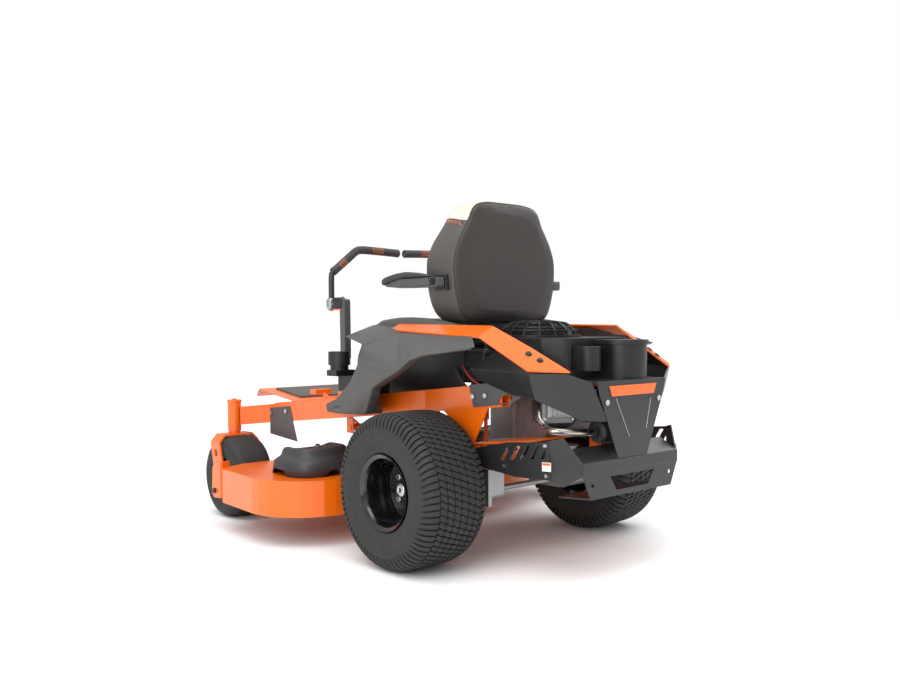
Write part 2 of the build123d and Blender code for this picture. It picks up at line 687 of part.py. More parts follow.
def deck():
    bottom = deck_top - deck_skirt
    shell = prism_z(deck_outline(0), bottom, deck_top)
    shell -= prism_z(deck_outline(-deck_t), bottom - 1, deck_top - deck_t)
    # side discharge mouth on the operator's right
    mouth_x = spindle_right[0] - cutter_r - shell_clear
    shell -= box(mouth_x - 30, mouth_x + 120, -800, -420, bottom - 1, deck_top - deck_t - 0.01)
    for x, y in (spindle_left, spindle_centre, spindle_right):
        shell -= rod_z(x, y, 200, 300, 30)
    add("deck_shell", shell)
    for i, (x, y) in enumerate((spindle_left, spindle_centre, spindle_right)):
        housing = rod_z(x, y, deck_top + gap, deck_top + 12, 72) + rod_z(x, y, deck_top + 12,
                deck_top + 48, spindle_housing_r)
        housing += rod_z(x, y, deck_top - 50, deck_top + gap + 1, 29.5)
        housing -= rod_z(x, y, 100, 400, spindle_shaft_r + running)
        add("spindle_housings", housing)
    # belt covers over the outer pulleys
    for (sx, sy), face in ((spindle_left, 1), (spindle_right, -1)):
        low = [(sx - face * 150, sy - 110), (sx + face * 60, sy - 118), (sx + face * 122, sy - 36),
               (sx + face * 142, sy + 60),
               (sx + face * 100, sy + 150), (sx - face * 60, sy + 170), (sx - face * 150, sy + 120)]
        high = [(sx + (px - sx) * 0.72, sy + (py - sy) * 0.72) for px, py in low]
        foot, crown = deck_top + gap, deck_top + 100
        wall = loft([Plane(origin=(0, 0, foot)) * face_of(low),
                     Plane(origin=(0, 0, crown)) * face_of(high)])
        inner_low = [(sx + (px - sx) * 0.96, sy + (py - sy) * 0.96) for px, py in low]
        inner_high = [(sx + (px - sx) * 0.68, sy + (py - sy) * 0.68) for px, py in low]
        room = loft([Plane(origin=(0, 0, foot - 1)) * face_of(inner_low),
                     Plane(origin=(0, 0, crown - 4)) * face_of(inner_high)])
        cover = wall - room
        # arched edge that leaves the cover standing on its corners
        for x0, x1, y0, y1 in ((-70, 40, -220, 220), (-220, 220, -30, 70)):
            cover -= box(sx + min(face * x0, face * x1), sx + max(face * x0, face * x1), sy + y0,
                         sy + y1, foot - 2, foot + 20)
        add("belt_covers", cover)
    # lift brackets and front anti-scalp bracket
    for side in (-1, 1):
        x0, x1 = lift_arm_x + 4 + gap, lift_arm_x + 9 + gap
        y = lift_at[0] + lift_arm - 10
        link = box(x0, x1, y - 9, y + 9, deck_top + gap, lift_at[1] + 8) + box(x0 - 34, x1, y - 20,
                y + 20, deck_top + gap, deck_top + 4)
        add("spindle_housings", link if side > 0 else mirror(link, about=Plane.YZ))
    for side in (-1, 1):
        edge = (spindle_left[0] if side > 0 else -spindle_right[0]) + cutter_r + shell_clear - 24
        profile = [(-984, 236), (-955, 262), (-918, 262), (-918, 122), (-974, 118), (-990, 134)]
        plate = prism_x(profile, edge - 8, edge - 3)
        # foot that lies flat on the shell's front corner facet
        inboard, outboard = (edge - 44, -928.2), (edge - 7, -915.4)
        plate += sheet([(*inboard, 124), (*outboard, 124), (*outboard, 262), (*inboard, 262)], 6.0)
        plate -= rod_x(edge - 30, edge + 10, roller_y, roller_z, 7.0 + running)
        add("spindle_housings", plate if side > 0 else mirror(plate, about=Plane.YZ))


def blades():
    for name, (x, y), turn in (("left", spindle_left, 0), ("centre", spindle_centre, 0),
                               ("right", spindle_right, 0)):
        z = deck_top - deck_skirt + blade_lift
        blade = box(-cutter_r, cutter_r, -blade_w / 2, blade_w / 2, z, z + blade_t)
        for s in (-1, 1):
            sail = prism_x([(s * blade_w / 2, z), (s * (blade_w / 2 - 18), z),
                            (s * (blade_w / 2 - 16), z + 6), (s * (blade_w / 2 + 2), z + 26),
                            (s * (blade_w / 2 + 6), z + 24)], min(s * 120, s * cutter_r),
                            max(s * 120, s * cutter_r))
            blade += sail
        blade &= rod_z(0, 0, z - 5, z + 60, cutter_r)
        shaft = rod_z(0, 0, z + blade_t, deck_top + 60, spindle_shaft_r) + rod_z(0, 0, z - 9,
                z + blade_t + 1, 15)
        collar = rod_z(0, 0, z + blade_t, deck_top - 50.5, 26)
        pulley = ring_z([(spindle_shaft_r - 1, deck_top + 50), (62, deck_top + 50),
                         (62, deck_top + 53), (52, deck_top + 60), (62, deck_top + 67),
                         (62, deck_top + 70), (spindle_shaft_r - 1, deck_top + 70)], 0, 0)
        add("blade_" + name, Pos(x, y, 0) * Rot(0, 0, turn) * (blade + shaft + collar + pulley))


def rollers():
    for side, name in ((1, "left"), (-1, "right")):
        edge = (spindle_left[0] if side > 0 else -spindle_right[0]) + cutter_r + shell_clear - 24
        x0, x1 = edge - 9 - roller_w, edge - 9
        wheel = rod_x(x0, x1, roller_y, roller_z, roller_r)
        wheel = fillet(wheel.edges(), 6)
        pin = rod_x(x1 - 1, edge + 4, roller_y, roller_z, 7.0)
        head = bolt_x(edge - 2.6, roller_y, roller_z, 1, 11, 7)
        part = wheel + pin + head
        add("anti_scalp_" + name, part if side > 0 else mirror(part, about=Plane.YZ))


chute_x = spindle_right[0] - cutter_r - shell_clear


def chute():
    # hinged side discharge deflector
    t = 5.0
    x0, x1 = chute_x - 6, chute_x - chute_len
    z0 = deck_top - 4
    top = sheet([(x0, -806, z0), (x0, -414, z0), (x1, -440, z0 - 62), (x1, -770, z0 - 62)], t)
    fore = sheet([(x0 - 2, -804, z0), (x1, -768, z0 - 62), (x1, -772, z0 - 104),
                  (x0 - 12, -806, z0 - 92)], t)
    aft = sheet([(x0 - 2, -416, z0), (x1, -442, z0 - 62), (x1, -438, z0 - 104),
                 (x0 - 12, -412, z0 - 92)], t)
    knuckle = rod_y(x0 - 2, -790, -430, z0 + 9, 8.0) - rod_y(x0 - 2, -800, -420, z0 + 9, 4.0 + running)
    add("discharge_chute", top + fore + aft + knuckle)
    # hinge pin between a lug and a longer arm, both standing on the deck's top
    fore_y, aft_y = -820.0, -399.0
    pin = rod_y(x0 - 2, fore_y, aft_y, z0 + 9, 4.0)
    lug = box(x0 - 10, x0 + 20, fore_y, fore_y + 10, z0 + 4.4, z0 + 18)
    arm = box(x0 - 10, x0 + 190, aft_y - 9, aft_y, z0 + 4.4, z0 + 18)
    add("chute_hinge", pin + lug + arm)


def deck_lift():
    # cross shaft with arms that carry the deck, and the foot pedal on its left end
    y, z = lift_at
    shaft = rod_x(-352, 352, y, z, 12.5)
    bearing = box(343, 349, y - 20, y + 20, z - 20, rail_top(y - 20) - rail_h - gap)
    bearing -= rod_x(300, 360, y, z, 12.5 + running)
    add("cross_members", *both(bearing))
    for x in (-lift_arm_x, lift_arm_x):
        shaft += box(x - 4, x + 4, y, y + lift_arm, z - 10, z + 10)
    add("lift_shaft", shaft)
    pedal_arm = prism_x([(y - 6, z + 9), (y - 2, z - 9), (-752, 508), (-760, 526)], pedal_x - 4,
                        pedal_x + 4)
    pedal = box(pedal_x - 38, pedal_x + 38, -790, -748, 514, 532)
    add("lift_shaft", pedal_arm + pedal)


# ================================================================ seat
def seat():
    base_z = seat_base
    pan = box(-215, 215, -470, -40, base_z + 16.4, base_z + 22)
    for x in (-seat_leg_x, seat_leg_x):
        pan += box(x - 14, x + 14, hinge_y - 6, -60, base_z + gap, base_z + 16.4)
        pan += rod_x(x - 22, x + 22, hinge_y, hinge_z, hinge_r)
    add("seat_frame", pan)
    cushion = box(-235, 235, -520, -seat_back_t - 6, base_z + 22.4, base_z + 108)
    cushion = fillet(cushion.edges(), 26)
    add("seat_cushion", cushion)
    half = seat_half
    z0 = 792.0
    back = [
        (-185, z0), (185, z0), (232, 880), (half, 1000), (240, 1060), (175, 1160), (120, 1212),
        (90, seat_top),
        (-90, seat_top), (-120, 1212), (-175, 1160), (-240, 1060), (-half, 1000), (-232, 880),
    ]
    body = prism_y(back, -seat_back_t, 0)
    hollow = prism_x([(-seat_back_t - 1, z0 + 30), (-110, z0 + 34), (-95, 900), (-105, 1040),
                      (-seat_back_t - 1, 1140)], -165, 165)
    body -= hollow
    add("seat_back", fillet(body.edges().filter_by(Axis.Y), 20))
    for side in (-1, 1):
        x = side * (half - 7.2)
        plate = box(min(x, x + side * 21), max(x, x + side * 21), -96, -40, 905, 958)
        plate -= rod_x(-400, 400, -68, 934, 8.0 + running)
        add("seat_frame", plate)
    recline = box(-120, 120, -58, -46, base_z + 22.4, z0 - 0.4)
    add("seat_frame", recline)


def armrests():
    for side, name in ((1, "left"), (-1, "right")):
        x = seat_half + 15.5
        bar = prism_x([(-92, 950), (-40, 950), (-40, 914), (-250, 918), (-330, 924), (-330, 930),
                       (-250, 950)], x, x + 38)
        pin = rod_x(seat_half + 1, x + 2, -68, 934, 8.0)
        pad = prism_x([(-70, 952), (-225, 973), (-330, 958), (-356, 942), (-352, 925), (-332, 930.4),
                       (-250, 950.4), (-92, 950.4)], x, x + 48)
        arm = bar + pin
        both_parts = [arm, pad]
        for p in both_parts:
            add("armrest_" + name, p if side > 0 else mirror(p, about=Plane.YZ))


# ================================================================ controls
lever_pivot = (338.0, -552.0, 600.0)
swing_pivot = (338.0, -600.0, 868.0)


def levers():
    px, py, pz = lever_pivot
    sx, sy, sz = swing_pivot
    for side, name in ((1, "left"), (-1, "right")):
        post = prism_x([(py - 18, pz - 20), (py + 18, pz - 20), (py + 12, 880), (py - 6, 897),
                        (py - 24, 880)], px - 4, px + 4)
        post += prism_x([(py + 2, pz + 60), (py + 16, pz + 60), (py + 12, 880), (py, 890)], px - 26, px - 3)
        head = box(px - 20, px + 15, sy - 16, py + 3, sz - 17, sz + 19)
        post += head
        post -= rod_y(sx, sy - 40, sy + 24, sz, 8.0 + running)
        ty = sy - 16 - gap - lever_r - 3
        post -= rod_x(px - 30, px + 30, py, pz, 9.0 + running)
        ear = box(px + 4 + gap, px + 10, py - 24, py + 24, rail_top(py + 24) + gap, pz + 18)
        ear += rod_x(px - 9, px + 6, py, pz, 9.0)
        add("cross_members", ear if side > 0 else mirror(ear, about=Plane.YZ))
        bend, tip = (215, ty, 1082), (14, ty, 1076)
        # the bare tube stops at the grip, 15 mm past its shoulder bend
        joint = (326.0, ty, 994.5)
        tube = pipe([(sx, ty, sz - 6), (sx, ty, 985), joint], lever_r, 18.0)
        knob = rod_y(sx, sy - 46, sy - 16 - gap, sz, 21)
        knob += rod_y(sx, sy - 20, sy + 20, sz, 8.0)
        knob = knob + tube
        grip = pipe([(325.7, ty, 994.7), bend, tip], grip_r, 30.0)
        parts = {"lever_post_": [post], "lever_tube_": [knob]}
        for key, solids in parts.items():
            for s in solids:
                add(key + name, s if side > 0 else mirror(s, about=Plane.YZ))
        add("lever_tube_" + name, grip if side > 0 else mirror(grip, about=Plane.YZ))


def small_controls():
    # operator's right: throttle lever, blade switch and key on the inner dome
    x, y = throttle_at
    throttle = box(x - 4, x + 4, y - 5, y + 5, 752, 806) + rod_x(x - 12, x + 12, y, 808, 9)
    add("throttle_lever", throttle + rod_x(x - 9, x + 9, y, throttle_pivot_z, 4.5))
    x, y = switch_at
    add("blade_switch", rod_z(x, y, 795.5, 813, 19) + rod_z(x, y, 760, 796, 8))
    x, y = key_at
    add("ignition_key", rod_z(x, y, 775, 806, 6) + box(x - 14, x + 14, y - 2, y + 2, 805, 830))
    for side, name in ((1, "left"), (-1, "right")):
        cx, cy = cap_at
        add("fuel_cap_" + name, rod_z(side * cx, cy, 640.4, 690, 41) + rod_z(side * cx, cy, 634, 641, 30))
        tank = box(312, 380, -528, -300, rail_top(-300) + gap, 601) + box(345, 430, -528, -466, 600, 622)
        tank += rod_z(cx, cy, 621, 640, 34) - box(300, 500, -458, -300, 600, 700)
        tank -= rod_z(cx, cy, 626, 650, 30 + running)
        add("fuel_tanks", tank if side > 0 else mirror(tank, about=Plane.YZ))


for build in (
    rails, front_axle, cross_members, brackets, floor_pan, fenders, seat_deck, straps, shroud, rear_panel,
    bumper, side_guards, engine, fan_guard, crank_fan, air_cleaner, exhaust, transaxles, deck, blades,
    rollers, chute, deck_lift, seat, armrests, levers, small_controls,
):
    build()
drive_wheel(1, "left")
drive_wheel(-1, "right")
caster(1, "left")
caster(-1, "right")

left_edge = spindle_left[0] + cutter_r + shell_clear
right_edge = chute_x - chute_len - 0.5
front_edge = -1461.0
origin = Vector((left_edge + right_edge) / 2, (front_edge + bumper_y) / 2, 0)

if __name__ == "__main__":
    os.makedirs("parts", exist_ok=True)
    for name, solids in nodes.items():
        pieces = [s for item in solids for s in item.solids()]
        moved = [s.moved(Location(-origin)) for s in pieces]
        export_step(Compound(children=moved), os.path.join("parts", name + ".step"))
    print(len(nodes), "nodes")
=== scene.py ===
import bpy
import bmesh
import json
import math
from mathutils import Matrix, Vector
from mathutils.bvhtree import BVHTree


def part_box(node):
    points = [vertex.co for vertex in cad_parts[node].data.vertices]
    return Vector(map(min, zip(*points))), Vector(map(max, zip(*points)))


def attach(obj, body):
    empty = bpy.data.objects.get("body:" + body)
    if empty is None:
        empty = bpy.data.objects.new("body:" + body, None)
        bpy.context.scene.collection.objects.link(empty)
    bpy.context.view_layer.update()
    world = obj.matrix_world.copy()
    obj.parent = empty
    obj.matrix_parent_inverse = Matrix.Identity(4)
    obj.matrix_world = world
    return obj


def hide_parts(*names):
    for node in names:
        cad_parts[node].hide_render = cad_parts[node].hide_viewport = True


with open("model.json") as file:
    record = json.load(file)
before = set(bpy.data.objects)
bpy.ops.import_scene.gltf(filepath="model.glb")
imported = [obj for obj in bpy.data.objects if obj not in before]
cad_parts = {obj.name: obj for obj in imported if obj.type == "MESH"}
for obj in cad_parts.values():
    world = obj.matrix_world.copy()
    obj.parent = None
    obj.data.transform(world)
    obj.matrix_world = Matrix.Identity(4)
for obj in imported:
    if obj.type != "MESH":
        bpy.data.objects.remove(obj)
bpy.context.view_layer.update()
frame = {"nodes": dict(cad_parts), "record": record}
nodes = frame["nodes"]
scene = bpy.context.scene
millimetre = 0.001


# Places are given from the rear axle on the ground: x to the operator's left, y to the rear, z up, in millimetres.
leftTyreBox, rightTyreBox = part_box("drive_tyre_left"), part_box("drive_tyre_right")
axleSpot = Vector((
    (leftTyreBox[0][0] + rightTyreBox[1][0]) / 2,
    (leftTyreBox[0][1] + leftTyreBox[1][1]) / 2,
    leftTyreBox[0][2],
))


def at(x, y, z):
    return axleSpot + Vector((x, y, z)) * millimetre


# ---- meshes

def meshPiece(name, points, faces, finish, smooth=True):
    mesh = bpy.data.meshes.new(name)
    mesh.from_pydata([tuple(p) for p in points], [], faces)
    mesh.validate()
    piece = bpy.data.objects.new(name, mesh)
    scene.collection.objects.link(piece)
    mesh.materials.append(finish)
    if smooth:
        mesh.shade_smooth()
    return piece


def fixNormals(piece):
    build = bmesh.new()
    build.from_mesh(piece.data)
    bmesh.ops.recalc_face_normals(build, faces=build.faces)
    build.to_mesh(piece.data)
    build.free()
    return piece


def rounded(piece, width, segments=3, angle=30.0):
    # rounds the edges that fold more than the angle
    bevel = piece.modifiers.new("edges", "BEVEL")
    bevel.width = width * millimetre
    bevel.segments = segments
    bevel.limit_method = "ANGLE"
    bevel.angle_limit = math.radians(angle)
    bevel.harden_normals = True
    return piece


def subdivided(piece, levels=2):
    surface = piece.modifiers.new("surface", "SUBSURF")
    surface.levels = levels
    surface.render_levels = levels
    return piece


def settled(piece):
    # the mesh with its modifiers applied
    bpy.context.view_layer.update()
    seen = piece.evaluated_get(bpy.context.evaluated_depsgraph_get())
    mesh = bpy.data.meshes.new_from_object(seen)
    piece.modifiers.clear()
    piece.data = mesh
    return piece


def spun(name, profile, centre, axis, finish, steps=96, closed=True):
    # a (radius, distance along) outline turned about an axle through centre
    points, faces = [], []
    count = len(profile)
    for i in range(steps):
        turn = 2 * math.pi * i / steps
        for radius, along in profile:
            a, b = radius * math.cos(turn), radius * math.sin(turn)
            spot = (along, a, b) if axis == "x" else (b, along, a) if axis == "y" else (a, b, along)
            points.append(at(*(centre[k] + spot[k] for k in range(3))))
    for i in range(steps):
        j = (i + 1) % steps
        for k in range(count if closed else count - 1):
            m = (k + 1) % count
            faces.append((i * count + k, j * count + k, j * count + m, i * count + m))
    return fixNormals(meshPiece(name, points, faces, finish))


def lofted(name, rings, finish, smooth=True, cap=True):
    # skin over rings of points that all have the same count
    points = [p for ring in rings for p in ring]
    count = len(rings[0])
    faces = []
    for i in range(len(rings) - 1):
        for k in range(count):
            m = (k + 1) % count
            faces.append((i * count + k, i * count + m, (i + 1) * count + m, (i + 1) * count + k))
    if cap:
        faces.append(tuple(range(count))[::-1])
        faces.append(tuple(len(points) - count + k for k in range(count)))
    return fixNormals(meshPiece(name, points, faces, finish, smooth))


def slab(name, outline, depth, finish, smooth=False):
    # a flat outline of 3-D points pushed along a vector, all in millimetres
    top = [at(*p) for p in outline]
    push = Vector(depth) * millimetre
    return lofted(name, [top, [p + push for p in top]], finish, smooth)


def block(name, low, high, finish):
    (x0, y0, z0), (x1, y1, z1) = low, high
    return slab(name, [(x0, y0, z0), (x1, y0, z0), (x1, y1, z0), (x0, y1, z0)], (0, 0, z1 - z0), finish)


def bentTube(name, route, radius, finish, cyclic=False, smoothness=6, flat=False):
    # a round bar along a smooth line near the route's points
    curve = bpy.data.curves.new(name, "CURVE")
    curve.dimensions = "3D"
    line = curve.splines.new("POLY" if flat else "NURBS")
    line.points.add(len(route) - 1)
    for point, spot in zip(line.points, route):
        point.co = (*at(*spot), 1)
    if not flat:
        line.order_u = 3
        line.use_endpoint_u = not cyclic
        line.resolution_u = smoothness
    line.use_cyclic_u = cyclic
    curve.bevel_depth = radius * millimetre
    curve.bevel_resolution = 4
    curve.use_fill_caps = True
    curve.materials.append(finish)
    piece = bpy.data.objects.new(name, curve)
    scene.collection.objects.link(piece)
    mesh = bpy.data.meshes.new_from_object(piece.evaluated_get(bpy.context.evaluated_depsgraph_get()))
    bpy.data.objects.remove(piece)
    solid = bpy.data.objects.new(name, mesh)
    scene.collection.objects.link(solid)
    mesh.shade_smooth()
    return solid


def boltHead(name, centre, axis, radius, height, finish, washer=0.0):
    # hexagon head with a washer under it, standing along the axis
    points, faces = [], []
    direction = Vector(axis).normalized()
    side = direction.orthogonal().normalized()
    up = direction.cross(side)
    levels = [(radius * 0.86, height), (radius, height - radius * 0.12), (radius, 0.0)]
    counts = 6
    if washer:
        levels = [(radius * 0.86, height + 1.2), (radius, height + 1.0), (radius, 1.4)]
    for reach, level in levels:
        for k in range(counts):
            turn = math.pi / 3 * k
            spot = (side * math.cos(turn) + up * math.sin(turn)) * reach + direction * level
            points.append(at(*(Vector(centre) + spot)))
    for row in range(len(levels) - 1):
        for k in range(counts):
            m = (k + 1) % counts
            faces.append((row * counts + k, row * counts + m, (row + 1) * counts + m, (row + 1) * counts + k))
    faces.append(tuple(range(counts)))
    faces.append(tuple(len(points) - counts + k for k in range(counts))[::-1])
    if washer:
        start, steps = len(points), 24
        for level in (1.4, 0.0):
            for k in range(steps):
                turn = 2 * math.pi * k / steps
                spot = (side * math.cos(turn) + up * math.sin(turn)) * washer + direction * level
                points.append(at(*(Vector(centre) + spot)))
        for k in range(steps):
            m = (k + 1) % steps
            faces.append((start + k, start + m, start + steps + m, start + steps + k))
        faces.append(tuple(start + k for k in range(steps)))
        faces.append(tuple(start + steps + k for k in range(steps))[::-1])
    return fixNormals(meshPiece(name, points, faces, finish, smooth=False))


def joined(name, pieces):
    # one piece from several, each part keeping its own finish
    build = bmesh.new()
    finishes = []
    for piece in pieces:
        settled(piece)
        start = len(build.faces)
        build.from_mesh(piece.data)
        build.faces.ensure_lookup_table()
        own = [m for m in piece.data.materials]
        for face in build.faces[start:]:
            finish = own[min(face.material_index, len(own) - 1)]
            if finish not in finishes:
                finishes.append(finish)
            face.material_index = finishes.index(finish)
        spare = piece.data
        bpy.data.objects.remove(piece)
        bpy.data.meshes.remove(spare)
    mesh = bpy.data.meshes.new(name)
    build.to_mesh(mesh)
    build.free()
    for finish in finishes:
        mesh.materials.append(finish)
    whole = bpy.data.objects.new(name, mesh)
    scene.collection.objects.link(whole)
    return whole


def mirroredCopy(piece, name):
    # the same piece on the operator's other side
    mesh = piece.data.copy()
    mesh.name = name
    for vertex in mesh.vertices:
        vertex.co.x = 2 * axleSpot.x - vertex.co.x
    mesh.flip_normals()
    copy = bpy.data.objects.new(name, mesh)
    scene.collection.objects.link(copy)
    return copy


def placed(piece, body, slotName, *standsFor):
    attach(piece, body)
    if standsFor:
        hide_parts(*standsFor)
    return piece


# ---- finishes

def linear(code):
    channels = [int(code[i:i + 2], 16) / 255 for i in (1, 3, 5)]
    return tuple(c / 12.92 if c <= 0.04045 else ((c + 0.055) / 1.055) ** 2.4 for c in channels) + (1.0,)


def addNode(tree, kind, settings=None, inputs=None):
    node = tree.nodes.new(kind)
    for key, value in (settings or {}).items():
        setattr(node, key, value)
    for key, value in (inputs or {}).items():
        if isinstance(value, bpy.types.NodeSocket):
            tree.links.new(value, node.inputs[key])
        else:
            node.inputs[key].default_value = value
    return node


def finishOf(name, look):
    # base coat, mottling, grain and rounded edges, lightened partly by wear and partly by a painted highlight
    material = bpy.data.materials.new(name)
    material.use_nodes = True
    tree = material.node_tree
    shader = tree.nodes["Principled BSDF"]
    spot = addNode(tree, "ShaderNodeTexCoord").outputs["Object"]
    mottle = addNode(tree, "ShaderNodeTexNoise", None, {
        "Vector": spot, "Scale": 1000 / look["mottleMm"], "Detail": 4.0, "Roughness": 0.6,
    }).outputs["Fac"]
    colour = addNode(tree, "ShaderNodeMix", {"data_type": "RGBA"}, {
        0: mottle, 6: linear(look["dark"]), 7: linear(look["light"]),
    }).outputs[2]
    grainKind = look.get("grain", "ShaderNodeTexNoise")
    grainInputs = {"Vector": spot, "Scale": 1000 / look["grainMm"]}
    if grainKind == "ShaderNodeTexNoise":
        grainInputs["Detail"] = 3.0
    grainSpot = spot
    if look.get("stretch"):
        grainSpot = addNode(tree, "ShaderNodeMapping", None, {"Vector": spot, "Scale": look["stretch"]}).outputs[0]
        grainInputs["Vector"] = grainSpot
    grainNode = addNode(tree, grainKind, {"feature": "SMOOTH_F1"} if grainKind == "ShaderNodeTexVoronoi" else None,
                        grainInputs)
    grain = grainNode.outputs["Distance" if grainKind == "ShaderNodeTexVoronoi" else "Fac"]
    soft = addNode(tree, "ShaderNodeBevel", {"samples": 4}, {"Radius": look.get("edgeMm", 0.8) * millimetre})
    raw = addNode(tree, "ShaderNodeNewGeometry").outputs["Normal"]
    bend = addNode(tree, "ShaderNodeVectorMath", {"operation": "DOT_PRODUCT"}, {0: soft.outputs[0], 1: raw})
    # edges lightened towards the edge colour by the bevel mask: partly wear, partly a painted highlight along the edges
    wearAndHighlight = addNode(tree, "ShaderNodeMapRange", {"clamp": True}, {
        "Value": bend.outputs["Value"], "From Min": 0.985, "From Max": 0.86, "To Min": 0.0, "To Max": look.get("wearAndHighlight", 0.4),
    }).outputs[0]
    wornAndHighlighted = addNode(tree, "ShaderNodeMix", {"data_type": "RGBA"}, {
        0: wearAndHighlight, 6: colour, 7: linear(look.get("edge", look["light"])),
    }).outputs[2]
    bump = addNode(tree, "ShaderNodeBump", None, {
        "Strength": look.get("bump", 0.3), "Distance": look.get("bumpMm", 0.2) * millimetre,
        "Height": grain, "Normal": soft.outputs[0],
    })
    rough = addNode(tree, "ShaderNodeMapRange", {"clamp": True}, {
        "Value": mottle, "From Min": 0.3, "From Max": 0.7,
        "To Min": look["rough"][0], "To Max": look["rough"][1],
    }).outputs[0]
    tree.links.new(wornAndHighlighted, shader.inputs["Base Color"])
    tree.links.new(rough, shader.inputs["Roughness"])
    tree.links.new(bump.outputs[0], shader.inputs["Normal"])
    shader.inputs["Metallic"].default_value = look.get("metallic", 0.0)
    shader.inputs["Coat Weight"].default_value = look.get("coat", 0.0)
    shader.inputs["Coat Roughness"].default_value = look.get("coatRough", 0.1)
    shader.inputs["Sheen Weight"].default_value = look.get("sheen", 0.0)
    if look.get("ior"):
        shader.inputs["IOR"].default_value = look["ior"]
    material.diffuse_color = linear(look["light"])
    return material
